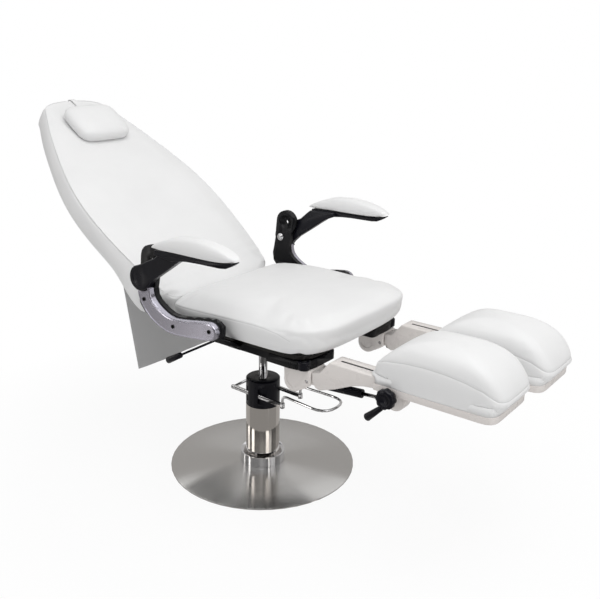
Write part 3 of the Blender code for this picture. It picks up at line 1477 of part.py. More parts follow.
def build_leg_tray(side, name, x, tilt):
    """The sliding carriage with the white tray over the arm's front end, and the calf cushion on it."""
    out = EXTENSION[side]
    slide = empty("leg_slide_" + name, (x, TRAY_REAR - out, LEG_ARM_TOP), parent=tilt)
    tray = plate("leg_tray_" + name, tray_outline(side, 0.0, out), TRAY_BOTTOM, TRAY_RIM, WHITE, axis="Z")
    upper = plate(
        "tray_upper_" + name, tray_outline(side, TRAY_STEP, out), TRAY_RIM - 0.006, TRAY_TOP, WHITE, axis="Z", cutter=True
    )
    inset = TRAY_STEP + TRAY_WALL
    hollow = plate(
        "tray_hollow_" + name, tray_outline(side, inset, out), 0.4800, TRAY_TOP - 0.0033, WHITE, axis="Z", cutter=True
    )
    mouth = box(
        "tray_mouth_" + name,
        (x - LEG_ARM_HALF - 0.0025, TRAY_REAR - out - 0.030, 0.4800),
        (x + LEG_ARM_HALF + 0.0015, TRAY_REAR - out + 0.010, TRAY_TOP - 0.0033),
        cutter=True,
    )
    bar = box(
        "carriage_bar_" + name,
        (x - 0.0250, -0.740 - out, 0.4990),
        (x + 0.0250, -0.500 - out, 0.5180),
        cutter=True,
    )
    neck = box("carriage_neck_" + name, (x - 0.0035, -0.612 - out, 0.514), (x + 0.0035, -0.560 - out, 0.5305), cutter=True)
    block = box("carriage_block_" + name, (x - 0.0230, -0.738 - out, 0.5160), (x + 0.0230, -0.685 - out, 0.5305), cutter=True)
    join(tray, upper)
    cut(tray, hollow, mouth)
    join(tray, bar, neck, block)
    set_origin(tray, slide.location)
    keep_parent(tray, slide)

    pad = leg_pad("leg_pad_" + name, side, out)
    recess = plate(
        "pad_recess_" + name,
        tray_outline(side, TRAY_STEP - 0.0003, out),
        0.4900,
        TRAY_TOP + 0.0006,
        VINYL,
        axis="Z",
        cutter=True,
    )
    mouth = box(
        "pad_mouth_" + name,
        (x - LEG_ARM_HALF - 0.0025, TRAY_REAR - out - 0.030, 0.4800),
        (x + LEG_ARM_HALF + 0.0015, TRAY_REAR - out + 0.010, TRAY_TOP - 0.0033),
        cutter=True,
    )
    cut(pad, recess, mouth)
    set_origin(pad, slide.location)
    keep_parent(pad, slide)


PAD_SEAM = [(0.000, 0.5560), (0.046, 0.5760), (0.102, 0.5850), (0.157, 0.5880), (0.211, 0.5862), (0.263, 0.5800)]
PAD_SEAM += [(0.310, 0.5688), (0.345, 0.5500), (0.370, 0.5460)]
PAD_CROWN = [(0.000, 0.5600), (0.020, 0.5760), (0.041, 0.5960), (0.060, 0.6130), (0.077, 0.6235), (0.105, 0.6335)]
PAD_CROWN += [(0.140, 0.6405), (0.190, 0.6425), (0.250, 0.6390), (0.285, 0.6325), (0.310, 0.6240), (0.335, 0.6115)]
PAD_CROWN += [(0.353, 0.5970), (0.368, 0.5700)]


def leg_pad(name, side, out):
    """A calf cushion with an arched seam where its side meets its crown, and a front that leans out."""
    count = 36
    floor = TRAY_RIM + GAP
    centre, rear = side * TRAY_X, TRAY_REAR - out
    loops = []
    for rise, inset, lean in ((0.0, 0.0, 0.0), (0.25, 0.0, 0.006), (0.70, -0.0005, 0.017), (0.93, 0.0015, 0.020), (1.0, 0.0030, 0.0195)):
        loop = []
        for u, v in soft_rectangle(TRAY_HALF - inset, inset, TRAY_LENGTH + lean - inset, 5.6, count):
            loop.append((centre + u, rear - v, floor + (between(PAD_SEAM, v) - floor) * rise))
        loops.append(loop)
    long = TRAY_LENGTH + 0.0205
    edge = soft_rectangle(TRAY_HALF - 0.0015, 0.0015, long - 0.0015, 5.6, count)
    middle = long / 2
    for share, rise in ((0.975, 0.25), (0.92, 0.55), (0.80, 0.80), (0.60, 0.95), (0.32, 1.0)):
        loop = []
        for u, v in edge:
            along = middle + (v - middle) * share
            low, high = between(PAD_SEAM, along), between(PAD_CROWN, along)
            loop.append((centre + u * share, rear - along, low + (high - low) * rise))
        loops.append(loop)
    return rings(name, loops, VINYL)


# ---------------------------------------------------------------- the whole chair
build_base()
build_housing()
build_pedal()
lift_axis, seat_axis = build_lift_and_seat()
build_sides(seat_axis)
build_recline_lever(seat_axis)
back_axis = build_back(seat_axis)
build_back_spring(seat_axis, back_axis)
build_flap()
build_armrests()
for leg_side in (-1, 1):
    build_leg(leg_side)
bpy.context.view_layer.update()
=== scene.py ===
"""Looks of a pedicure spa chair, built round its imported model.

Lengths are in metres and +Z is up. The chair faces -Y, and the sitter's right side, the one nearest the
camera, is at -X.
"""

import json
from math import atan2, cos, degrees, pi, radians, sin, tan

import bpy
import numpy as np
from mathutils import Matrix, Vector


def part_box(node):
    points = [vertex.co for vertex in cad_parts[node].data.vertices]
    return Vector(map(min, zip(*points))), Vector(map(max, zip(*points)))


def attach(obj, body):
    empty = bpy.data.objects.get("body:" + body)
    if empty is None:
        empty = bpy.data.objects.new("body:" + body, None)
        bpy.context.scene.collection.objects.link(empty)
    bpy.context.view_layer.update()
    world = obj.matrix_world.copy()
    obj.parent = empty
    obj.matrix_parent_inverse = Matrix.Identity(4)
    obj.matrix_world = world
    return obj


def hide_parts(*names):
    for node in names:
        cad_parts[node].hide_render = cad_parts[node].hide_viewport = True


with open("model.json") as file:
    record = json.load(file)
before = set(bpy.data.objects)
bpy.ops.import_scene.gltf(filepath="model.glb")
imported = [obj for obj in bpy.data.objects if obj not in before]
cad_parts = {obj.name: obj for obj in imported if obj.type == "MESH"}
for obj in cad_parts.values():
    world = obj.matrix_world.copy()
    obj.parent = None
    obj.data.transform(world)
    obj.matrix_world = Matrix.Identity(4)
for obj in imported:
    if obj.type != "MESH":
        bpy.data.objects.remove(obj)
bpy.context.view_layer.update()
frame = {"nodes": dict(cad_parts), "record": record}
nodes = frame["nodes"]
record = frame["record"]
body_of_node = {n: body for body, held in record["behaviour"]["bodies"].items() for n in held}
slot_of_node = {part["node"]: part["material_slot"] for part in record["subparts"]}

# ---------------------------------------------------------------- sizes
SIDES = {"near": -1, "far": 1}
FAR_DRAWN_OUT = 0.0187  # how much further than the near leg rest the far one is drawn out

RECLINE = radians(36.0)  # the back's angle over the floor
BACK_AXIS = Vector((0.0, 0.190, 0.550))
BACK_FACE = 0.0486  # the front face's height over the recline axis
BACK_SEAM = BACK_FACE - 0.0080  # the height of its front seam
BACK_REAR = BACK_FACE - 0.0770  # below this the back is tight over its board
BACK_SEAM_FROM = 0.050  # the seam fades towards the lower end from this far along
BACK_FOLDS = (  # the pulls across the lower end, as (way along, width, height, lean)
    (0.066, 0.0080, 0.0020, 0.06),
    (0.094, 0.0100, 0.0016, 0.10),
    (0.124, 0.0120, 0.0010, 0.16),
)
PILLOW_REAR = 0.0530  # below this the pillow rests on the back

SEAT_PITCH = radians(2.2)
SEAT_PITCH_AT = -0.130  # where along the seat the pitched top has its stated height
SEAT_SEAM = (  # the side seam from the front corner, as (y, height over the cushion's bottom)
    (-0.380, -0.040),
    (-0.352, -0.008),
    (-0.339, 0.006),
    (-0.329, 0.017),
    (-0.305, 0.037),
    (-0.271, 0.052),
    (-0.227, 0.060),
    (-0.185, 0.063),
    (0.150, 0.064),
)
SEAT_SIDE = 0.262  # beyond this the cushion's surface belongs to its side
SEAT_PLUMP = 0.012  # how much higher than its packed form the seat stands behind its middle

PAD_SEAM = (  # the calf cushions' side seam, as (way along the pad from its rear, height)
    (0.000, 0.5560),
    (0.046, 0.5760),
    (0.102, 0.5850),
    (0.157, 0.5880),
    (0.211, 0.5862),
    (0.263, 0.5800),
    (0.310, 0.5688),
    (0.345, 0.5500),
    (0.370, 0.5460),
)
PAD_REAR = -0.526  # where a calf cushion that isn't drawn out begins
LAP = (0.5122, 0.5320)  # the calf cushions' covers lap the trays' walls between these heights
LAP_THICK = 0.0016

NO_SEAM = 0.05  # the distance given to points that no seam is near
SEAM_HELD = 0.003  # a cover is held still this near to its seam
GROOVE_WIDTH = 0.0030

COVER_OUT = 0.341  # the outer face of the silver side covers
COVER_STEP = 0.0022  # the spacing of the points that the covers' outline is drawn with
COVER_EVENINGS = 14  # how many times those points are evened out
COVER_ROUND = 0.0046  # the rounding of the covers' edges
COVER_SINK = 0.0010  # how deep the covers' face lies inside its rim
COVER_SCREWS = ((0.1651, 0.6120), (0.0507, 0.5548), (-0.0882, 0.5720))  # as (y, z)
SCREW_RADIUS, SCREW_LENGTH, SCREW_PROUD = 0.0058, 0.0024, 0.0008

LINER_SIZE = (0.0086, 0.1970, 0.0036)
LINER_MIDDLE = -0.5205  # along Y
LINER_UNDER = 0.0022  # the liner's middle lies this far under the arm's top

BOSS_RADIUS, BOSS_HEIGHT = 0.0165, 0.0265
BOSS_AT = (0.2225, -0.3245, 0.5003)  # its middle on the far side

FLAP_TOP = Vector((0.0, 0.3700, 0.6120))
FLAP_BOTTOM = 0.2870
FLAP_HALF_TOP, FLAP_HALF_BOTTOM = 0.244, 0.190
FLAP_THICK = 0.0016

SMOOTH_ANGLE = radians(34.0)  # faces that meet at less than this are shaded as one
CLOTH_FRAMES = 20
CLOTH_PRESSURE = 4.0

FLOOR_UNDER = 0.0006  # the studio's floor lies this far under the chair's foot
DRAPE_RADIUS, DRAPE_HEIGHT = 5.0, 3.6
DRAPE_UNDER = 0.003  # the drapes' floor lies this far under the chair's foot
DRAPE_LEVELS = (0.11, 0.50, 5.0, 0.36, 1.00)
DARK, GREY, WINDOW, DARK_FLOOR, WINDOW_FLOOR = range(len(DRAPE_LEVELS))
WINDOWS = ((149.0, 4.0), (112.0, 3.0), (252.0, 2.0))  # as (bearing from +X, half the width), in degrees
CAMERA_BEARING = 219.5
DARK_REACH = 100.0  # the drapes are dark up to this far to each side of the camera, in degrees


# ---------------------------------------------------------------- finishes
def finish(name, colour, roughness, metallic=0.0, **constants):
    """A material, its node tree and its shader, with plain values on the shader's own sockets."""
    made = bpy.data.materials.new(name)
    made.use_nodes = True
    tree = made.node_tree
    shader = tree.nodes["Principled BSDF"]
    shader.inputs["Base Color"].default_value = (*colour, 1.0)
    shader.inputs["Roughness"].default_value = roughness
    shader.inputs["Metallic"].default_value = metallic
    for label, value in constants.items():
        shader.inputs[label.replace("_", " ")].default_value = value
    made.diffuse_color = (*colour, 1.0)
    return made, tree, shader


def place_on(tree, stretch=(1.0, 1.0, 1.0)):
    """The object's own coordinates, stretched along its axes."""
    spot = tree.nodes.new("ShaderNodeTexCoord")
    mapping = tree.nodes.new("ShaderNodeMapping")
    mapping.inputs["Scale"].default_value = stretch
    tree.links.new(spot.outputs["Object"], mapping.inputs["Vector"])
    return mapping.outputs["Vector"]


def noise(tree, where, scale, detail=4.0, roughness=0.5):
    """A cloudy pattern round a half, scale cycles to the metre."""
    made = tree.nodes.new("ShaderNodeTexNoise")
    made.inputs["Scale"].default_value = scale
    made.inputs["Detail"].default_value = detail
    made.inputs["Roughness"].default_value = roughness
    tree.links.new(where, made.inputs["Vector"])
    return made.outputs["Fac"]


def spread(tree, value, low, high, start=0.3, end=0.7):
    """The value's range from start to end, drawn out from low to high."""
    made = tree.nodes.new("ShaderNodeMapRange")
    made.inputs["From Min"].default_value = start
    made.inputs["From Max"].default_value = end
    made.inputs["To Min"].default_value = low
    made.inputs["To Max"].default_value = high
    tree.links.new(value, made.inputs["Value"])
    return made.outputs["Result"]


def tint(tree, factor, first, second):
    """The first colour where the factor is 0, and the second where it is 1."""
    made = tree.nodes.new("ShaderNodeMix")
    made.data_type = "RGBA"
    made.inputs["A"].default_value = (*first, 1.0)
    made.inputs["B"].default_value = (*second, 1.0)
    tree.links.new(factor, made.inputs["Factor"])
    return made.outputs["Result"]


def relief(tree, height, strength, distance, under=None):
    """A bump, laid over another one if there is one."""
    made = tree.nodes.new("ShaderNodeBump")
    made.inputs["Strength"].default_value = strength
    made.inputs["Distance"].default_value = distance
    tree.links.new(height, made.inputs["Height"])
    if under is not None:
        tree.links.new(under, made.inputs["Normal"])
    return made.outputs["Normal"]


def arithmetic(tree, operation, first, second=None):
    """One calculation on an output, with a number or another output as the second term."""
    made = tree.nodes.new("ShaderNodeMath")
    made.operation = operation
    tree.links.new(first, made.inputs[0])
    if isinstance(second, (int, float)):
        made.inputs[1].default_value = second
    elif second is not None:
        tree.links.new(second, made.inputs[1])
    return made.outputs[0]


def leatherette(name, colour, seamed=True):
    """Coated cloth: a fine pebbled grain, soft pull marks, and a sewn crease where a piece has a seam, with
    painted shade darkening the colour along it.

    A seamed piece carries its distance from the seam, in metres, as the attribute seam_distance.
    """
    made, tree, shader = finish(name, colour, 0.46, Sheen_Weight=0.04, Specular_IOR_Level=0.45)
    shader.inputs["Sheen Roughness"].default_value = 0.45
    here = place_on(tree)
    pebbles = tree.nodes.new("ShaderNodeTexVoronoi")
    pebbles.feature = "SMOOTH_F1"
    pebbles.inputs["Scale"].default_value = 620.0
    tree.links.new(here, pebbles.inputs["Vector"])
    pores = noise(tree, here, 1500.0, 2.0)
    pulls = noise(tree, place_on(tree, (1.0, 1.6, 1.0)), 22.0, 3.0)
    normal = relief(tree, pebbles.outputs["Distance"], 0.22, 0.0004)
    normal = relief(tree, pores, 0.10, 0.0002, normal)
    normal = relief(tree, pulls, 0.16, 0.0030, normal)
    shade = spread(tree, noise(tree, here, 7.0, 3.0), 0.0, 1.0)
    dirt = tuple(c * 0.965 for c in colour)
    colour_now = tint(tree, shade, colour, dirt)
    if seamed:
        field = tree.nodes.new("ShaderNodeAttribute")
        field.attribute_name = "seam_distance"
        off = arithmetic(tree, "ABSOLUTE", field.outputs["Fac"])
        # painted shade: along the seam the colour is darkened to 0.80 of itself, standing in for the shade in
        # the sewn groove
        crease = spread(tree, off, 1.0, 0.0, 0.0002, 0.0012)
        seam_painted_shade = tree.nodes.new("ShaderNodeMix")
        seam_painted_shade.data_type = "RGBA"
        tree.links.new(crease, seam_painted_shade.inputs["Factor"])
        tree.links.new(colour_now, seam_painted_shade.inputs["A"])
        seam_painted_shade.inputs["B"].default_value = tuple(c * 0.80 for c in colour) + (1.0,)
        colour_now = seam_painted_shade.outputs["Result"]
        normal = relief(tree, spread(tree, off, 0.0, 1.0, 0.0, 0.0025), 0.5, 0.0008, normal)
    tree.links.new(colour_now, shader.inputs["Base Color"])
    tree.links.new(spread(tree, pulls, 0.40, 0.52), shader.inputs["Roughness"])
    tree.links.new(normal, shader.inputs["Normal"])
    return made


def enamel(name, colour):
    """Sprayed gloss paint on castings: a faint orange peel and slight dust."""
    made, tree, shader = finish(name, colour, 0.28, Coat_Weight=0.35, Coat_Roughness=0.12)
    here = place_on(tree)
    normal = relief(tree, noise(tree, here, 260.0, 2.0), 0.06, 0.0006)
    worn = spread(tree, noise(tree, here, 24.0, 5.0), 0.0, 1.0)
    tree.links.new(tint(tree, worn, colour, tuple(c * 0.975 for c in colour)), shader.inputs["Base Color"])
    tree.links.new(spread(tree, worn, 0.24, 0.34, 0.0, 1.0), shader.inputs["Roughness"])
    tree.links.new(normal, shader.inputs["Normal"])
    return made


def moulding(name, colour, roughness, grain=700.0, strength=0.12):
    """Moulded plastic or powder coat: a fine even texture, a little shinier where it is handled."""
    made, tree, shader = finish(name, colour, roughness, Specular_IOR_Level=0.20)
    here = place_on(tree)
    normal = relief(tree, noise(tree, here, grain, 3.0), strength, 0.0004)
    handled = spread(tree, noise(tree, here, 18.0, 4.0), roughness - 0.07, roughness + 0.07)
    tree.links.new(handled, shader.inputs["Roughness"])
    light = tuple(min(1.0, c * 1.4 + 0.001) for c in colour)
    tree.links.new(tint(tree, noise(tree, here, 40.0), colour, light), shader.inputs["Base Color"])
    tree.links.new(normal, shader.inputs["Normal"])
    return made


def bright_metal(name, colour, low, high, stretch=(1.0, 1.0, 1.0), scale=60.0, strength=0.02):
    """Bare or plated metal whose roughness varies from low to high along its grain."""
    made, tree, shader = finish(name, colour, (low + high) / 2, 1.0)
    grain = noise(tree, place_on(tree, stretch), scale, 6.0, 0.6)
    tree.links.new(spread(tree, grain, low, high), shader.inputs["Roughness"])
    tree.links.new(relief(tree, grain, strength, 0.0003), shader.inputs["Normal"])
    tree.links.new(tint(tree, grain, colour, tuple(c * 0.92 for c in colour)), shader.inputs["Base Color"])
    return made


def ring_brushed(name, colour):
    """Stainless sheet brushed in rings round the column."""
    made, tree, shader = finish(name, colour, 0.13, 1.0, Anisotropic=0.95, Anisotropic_Rotation=0.25)
    parts = tree.nodes.new("ShaderNodeSeparateXYZ")
    tree.links.new(place_on(tree), parts.inputs[0])
    x, y = parts.outputs["X"], parts.outputs["Y"]
    squares = [arithmetic(tree, "MULTIPLY", axis, axis) for axis in (x, y)]
    radius = arithmetic(tree, "SQRT", arithmetic(tree, "ADD", *squares))
    turn = arithmetic(tree, "ARCTAN2", y, x)
    grain_at = tree.nodes.new("ShaderNodeCombineXYZ")
    tree.links.new(arithmetic(tree, "MULTIPLY", radius, 900.0), grain_at.inputs["X"])
    tree.links.new(arithmetic(tree, "MULTIPLY", turn, 1.6), grain_at.inputs["Y"])
    grain = noise(tree, grain_at.outputs[0], 1.0, 4.0, 0.65)
    around = tree.nodes.new("ShaderNodeTangent")
    around.direction_type = "RADIAL"
    around.axis = "Z"
    tree.links.new(around.outputs[0], shader.inputs["Tangent"])
    tree.links.new(spread(tree, grain, 0.21, 0.27), shader.inputs["Roughness"])
    tree.links.new(tint(tree, grain, colour, tuple(c * 0.94 for c in colour)), shader.inputs["Base Color"])
    tree.links.new(relief(tree, grain, 0.012, 0.0001), shader.inputs["Normal"])
    return made


def painted_plywood(name):
    """Plywood stained black, its layers still showing a little."""
    made, tree, shader = finish(name, (0.020, 0.018, 0.016), 0.62, Specular_IOR_Level=0.25)
    layers = noise(tree, place_on(tree, (1.0, 9.0, 60.0)), 14.0, 6.0, 0.6)
    stain = tint(tree, spread(tree, layers, 0.0, 1.0), (0.022, 0.020, 0.018), (0.010, 0.009, 0.008))
    tree.links.new(stain, shader.inputs["Base Color"])
    tree.links.new(relief(tree, layers, 0.2, 0.0005), shader.inputs["Normal"])
    return made


WHITE_COVER = leatherette("white_leatherette", (0.785, 0.785, 0.785))
# painted shade: the apron is the white leatherette hanging in shade, and this grey colour stands in for that
# shade; the back's board wears it as well
GREY_COVER_PAINTED_SHADE = leatherette("apron_leatherette_painted_shade", (0.560, 0.560, 0.562), seamed=False)
WHITE_ENAMEL = enamel("white_enamel", (0.740, 0.700, 0.675))
BLACK_PLASTIC = moulding("black_plastic", (0.004, 0.004, 0.007), 0.30)
BLACK_COAT = moulding("black_powder_coat", (0.004, 0.004, 0.005), 0.34, 900.0, 0.20)
SILVER = bright_metal("silver_cover", (0.520, 0.508, 0.580), 0.24, 0.28, scale=40.0, strength=0.002)
CHROME = bright_metal("chrome_plate", (0.760, 0.760, 0.775), 0.05, 0.11)
DISC = ring_brushed("brushed_disc", (0.600, 0.592, 0.580))
COLUMN = bright_metal("column_stainless", (0.640, 0.610, 0.580), 0.04, 0.07, (900.0, 900.0, 14.0), 1.0, 0.01)
BARE_STEEL = bright_metal("bare_steel", (0.240, 0.240, 0.240), 0.50, 0.65, scale=90.0, strength=0.30)
PLYWOOD = painted_plywood("painted_plywood")

FINISH_OF_SLOT = {
    "white_vinyl": WHITE_COVER,
    "foam_vinyl": WHITE_COVER,
    "white_enamel": WHITE_ENAMEL,
    "black_plastic": BLACK_PLASTIC,
    "black_steel": BLACK_COAT,
    "silver_aluminium": SILVER,
    "chrome": CHROME,
    "brushed_stainless": DISC,
    "raw_steel": BARE_STEEL,
    "plywood": PLYWOOD,
}


# ---------------------------------------------------------------- helpers
def pick(*objects):
    """Selects only these, the last one active."""
    bpy.ops.object.select_all(action="DESELECT")
    for obj in objects:
        obj.select_set(True)
    bpy.context.view_layer.objects.active = objects[-1]


def dress(obj, material):
    obj.data.materials.clear()
    obj.data.materials.append(material)
    return obj


def copy_of(node, name):
    """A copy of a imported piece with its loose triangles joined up. It is left selected."""
    made = bpy.data.objects.new(name, nodes[node].data.copy())
    bpy.context.scene.collection.objects.link(made)
    pick(made)
    bpy.ops.object.mode_set(mode="EDIT")
    bpy.ops.mesh.select_all(action="SELECT")
    bpy.ops.mesh.remove_doubles(threshold=0.00002)
    bpy.ops.object.mode_set(mode="OBJECT")
    return made


def apply(obj, kind, **settings):
    """Adds a modifier with these settings and applies it."""
    made = obj.modifiers.new(kind.lower(), kind)
    for label, value in settings.items():
        setattr(made, label, value)
    pick(obj)
    bpy.ops.object.modifier_apply(modifier=made.name)
    return obj


def points_of(obj):
    out = np.empty(len(obj.data.vertices) * 3, np.float32)
    obj.data.vertices.foreach_get("co", out)
    return out.reshape(-1, 3).astype(float)


def set_points(obj, points):
    obj.data.vertices.foreach_set("co", np.asarray(points, np.float32).ravel())
    obj.data.update()


def settle(obj):
    """Moves the object's place, turn and scale into its mesh."""
    pick(obj)
    bpy.ops.object.transform_apply(location=True, rotation=True, scale=True)


def edit_faces(obj, wanted):
    """Goes into edit mode with only the wanted faces selected."""
    pick(obj)
    bpy.ops.object.mode_set(mode="EDIT")
    bpy.ops.mesh.select_mode(type="FACE")
    bpy.ops.mesh.select_all(action="DESELECT")
    bpy.ops.object.mode_set(mode="OBJECT")
    for face in obj.data.polygons:
        face.select = wanted(face)
    bpy.ops.object.mode_set(mode="EDIT")


def group_of(piece, name, chosen):
    group = piece.vertex_groups.new(name=name)
    group.add([int(index) for index in np.nonzero(chosen)[0]], 1.0, "REPLACE")
    return group.name


def relax(piece, chosen, times):
    """Evens out the chosen points."""
    apply(piece, "SMOOTH", factor=0.5, iterations=times, vertex_group=group_of(piece, "eased", chosen))
    piece.vertex_groups.clear()


def push_in(piece, chosen, depth):
    """Draws the chosen points inwards."""
    apply(piece, "DISPLACE", strength=-depth, mid_level=0.0, vertex_group=group_of(piece, "loose", chosen))
    piece.vertex_groups.clear()


def stands_for(obj, node, material):
    """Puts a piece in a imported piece's place: its body and its finish."""
    dress(obj, material)
    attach(obj, body_of_node[node])
    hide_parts(node)
    return obj


# ---------------------------------------------------------------- hard pieces
def refine(node, material, edge):
    """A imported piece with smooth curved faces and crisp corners, broken where an edge width is given."""
    made = copy_of(node, node + "_finished")
    if edge:
        apply(
            made,
            "BEVEL",
            width=edge,
            segments=2,
            limit_method="ANGLE",
            angle_limit=radians(40.0),
            use_clamp_overlap=True,
        )
    pick(made)
    bpy.ops.object.shade_smooth_by_angle(angle=SMOOTH_ANGLE)
    stands_for(made, node, material)


SOFT = ["seat_cushion", "back_cushion", "head_pillow", "pillow_strap", "rear_flap"]
SOFT += [f"{kind}_{side}" for kind in ("armrest_pad", "leg_pad") for side in SIDES]
SPECIAL = {"column_tube": COLUMN, "back_board": GREY_COVER_PAINTED_SHADE}
BROKEN_EDGES = {"leg_arm": 0.0006, "leg_knuckle": 0.0006, "leg_tray": 0.0006, "armrest_carrier": 0.0010}


def refine_hard_pieces():
    for node in nodes:
        if node in SOFT or node.startswith("side_cover"):
            continue
        material = SPECIAL.get(node, FINISH_OF_SLOT[slot_of_node[node]])
        refine(node, material, BROKEN_EDGES.get(node.rsplit("_", 1)[0], 0.0))


def outline_of_cover(traced, side):
    """The outer face's outline, as (y, z) points in order, from the edges it shares with the cover's rim."""
    points = points_of(traced)
    on_face, on_rim = set(), set()
    for face in traced.data.polygons:
        keys = {tuple(sorted(key)) for key in face.edge_keys}
        if face.normal.x * side > 0.99:
            on_face |= keys
        elif abs(face.normal.x) < 0.5:
            on_rim |= keys
    outermost = COVER_OUT - 0.0004
    beside = {}
    for first, second in on_face & on_rim:
        if min(points[first, 0] * side, points[second, 0] * side) > outermost:
            beside.setdefault(first, []).append(second)
            beside.setdefault(second, []).append(first)
    loop = [min(beside)]
    while True:
        onward = [point for point in beside[loop[-1]] if point not in loop]
        if not onward:
            return points[loop][:, 1:]
        loop.append(onward[0])


def side_cover(side_name, side):
    """The silver cover: its outline evened out, drawn out to a plate, rounded over and sunk in its rim."""
    node = f"side_cover_{side_name}"
    traced = copy_of(node, node + "_traced")
    outline = outline_of_cover(traced, side)
    bpy.data.objects.remove(traced)
    spans = np.linalg.norm(np.roll(outline, -1, axis=0) - outline, axis=1)
    along = np.concatenate([[0.0], np.cumsum(spans)])
    closed = np.vstack([outline, outline[:1]])
    at = np.arange(0.0, along[-1], COVER_STEP)
    rows = np.stack([np.interp(at, along, closed[:, 0]), np.interp(at, along, closed[:, 1])], axis=1)
    for _ in range(COVER_EVENINGS):
        rows = rows / 2 + (np.roll(rows, 1, axis=0) + np.roll(rows, -1, axis=0)) / 4
    low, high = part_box(node)
    inner = low.x if side > 0 else high.x
    drawn_out = side * (high.x - low.x - COVER_ROUND)
    bpy.ops.mesh.primitive_circle_add(vertices=len(rows), fill_type="NGON")
    made = bpy.context.object
    made.name = node + "_finished"
    set_points(made, np.column_stack([np.full(len(rows), inner), rows]))
    bpy.ops.object.mode_set(mode="EDIT")
    bpy.ops.mesh.select_mode(type="FACE")
    bpy.ops.mesh.select_all(action="SELECT")
    bpy.ops.mesh.extrude_region_move(TRANSFORM_OT_translate={"value": (drawn_out, 0.0, 0.0)})
    turns = np.radians([0.0, 22.5, 45.0, 67.5, 90.0])
    for start, stop in zip(turns[:-1], turns[1:]):
        bpy.ops.mesh.inset(thickness=COVER_ROUND * (cos(start) - cos(stop)), use_even_offset=False)
        rise = COVER_ROUND * (sin(stop) - sin(start))
        bpy.ops.transform.translate(value=(side * rise, 0.0, 0.0))
    bpy.ops.mesh.inset(thickness=0.0015, use_even_offset=False)
    bpy.ops.mesh.inset(thickness=0.0008, use_even_offset=False)
    bpy.ops.transform.translate(value=(-side * COVER_SINK, 0.0, 0.0))
    bpy.ops.mesh.select_all(action="SELECT")
    bpy.ops.mesh.normals_make_consistent(inside=False)
    bpy.ops.object.mode_set(mode="OBJECT")
    bpy.ops.object.shade_smooth_by_angle(angle=radians(50.0))
    stands_for(made, node, SILVER)


def slot_liner(side_name):
    """The black wear strip in the slot on top of the leg arm."""
    low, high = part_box(f"leg_arm_{side_name}")
    place = ((low.x + high.x) / 2, LINER_MIDDLE, high.z - LINER_UNDER)
    bpy.ops.mesh.primitive_cube_add(size=1.0, location=place, scale=LINER_SIZE)
    made = bpy.context.object
    made.name = f"arm_slot_liner_{side_name}"
    settle(made)
    apply(made, "BEVEL", width=0.0010, segments=2)
    bpy.ops.object.shade_smooth_by_angle(angle=radians(40.0))
    dress(made, BLACK_PLASTIC)
    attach(made, f"leg_{side_name}")


def corner_boss(side_name, side):
    """The round clamp boss at the outer corner of each front bracket, domed on top and sunk in the middle."""
    x, y, z = BOSS_AT
    place = (side * x, y, z)
    bpy.ops.mesh.primitive_cylinder_add(vertices=40, radius=BOSS_RADIUS, depth=BOSS_HEIGHT, location=place)
    made = bpy.context.object
    made.name = f"bracket_boss_{side_name}"
    settle(made)
    apply(made, "BEVEL", width=0.0040, segments=4, limit_method="ANGLE", angle_limit=radians(40.0))
    edit_faces(made, lambda face: face.normal.z > 0.99)
    bpy.ops.mesh.inset(thickness=0.0035)
    bpy.ops.mesh.extrude_region_move(TRANSFORM_OT_translate={"value": (0.0, 0.0, -0.0020)})
    bpy.ops.object.mode_set(mode="OBJECT")
    bpy.ops.object.shade_smooth_by_angle(angle=radians(35.0))
    dress(made, BLACK_PLASTIC)
    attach(made, "seat")


def socket_screw(name, y, z, side):
    """A socket-head screw sunk in the cover's face."""
    bpy.ops.mesh.primitive_cylinder_add(
        vertices=24,
        radius=SCREW_RADIUS,
        depth=SCREW_LENGTH,
        location=(side * (COVER_OUT + SCREW_PROUD - SCREW_LENGTH / 2), y, z),
        rotation=(0.0, side * pi / 2, 0.0),
    )
    made = bpy.context.object
    made.name = name
    settle(made)
    edit_faces(made, lambda face: face.normal.x * side > 0.9)
    bpy.ops.mesh.inset(thickness=0.0006)
    bpy.ops.mesh.inset(thickness=0.0016)
    bpy.ops.mesh.extrude_region_move(TRANSFORM_OT_translate={"value": (-side * 0.0018, 0.0, 0.0)})
    bpy.ops.mesh.select_all(action="SELECT")
    bpy.ops.mesh.normals_make_consistent(inside=False)
    bpy.ops.object.mode_set(mode="OBJECT")
    bpy.ops.object.shade_smooth_by_angle(angle=radians(30.0))
    dress(made, BLACK_COAT)
    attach(made, "seat")


# ---------------------------------------------------------------- padded pieces
# Each of these gives the points' signed distances from a piece's seam.
def seam_of_seat(points):
    x, y, z = points.T
    lean = (SEAT_PITCH_AT - y) * tan(SEAT_PITCH)
    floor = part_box("seat_cushion")[0].z
    at, height = (np.array(column) for column in zip(*SEAT_SEAM))
    slope = np.interp(y, (at[1:] + at[:-1]) / 2, np.diff(height) / np.diff(at))
    away = (z - (floor + np.interp(y, at, height) + lean)) / np.sqrt(1 + slope**2)
    return np.where(np.abs(x) > SEAT_SIDE, away, NO_SEAM)


def in_back(points):
    """The points in the back's own directions: across, along and out of it, from the recline axis."""
    y, z = points[:, 1] - BACK_AXIS.y, points[:, 2] - BACK_AXIS.z
    along = y * cos(RECLINE) + z * sin(RECLINE)
    out = -y * sin(RECLINE) + z * cos(RECLINE)
    return points[:, 0], along, out


def seam_of_back(points):
    _, along, out = in_back(points)
    away = out - BACK_SEAM
    # the lower end is folded under, without a seam
    return away + np.sign(away) * np.clip(BACK_SEAM_FROM - along, 0.0, None) * 0.3


def seam_of_pad(points):
    at, height = zip(*PAD_SEAM)
    return points[:, 2] - np.interp(PAD_REAR - points[:, 1], at, height)


def no_seam(points):
    return np.full(len(points), NO_SEAM)


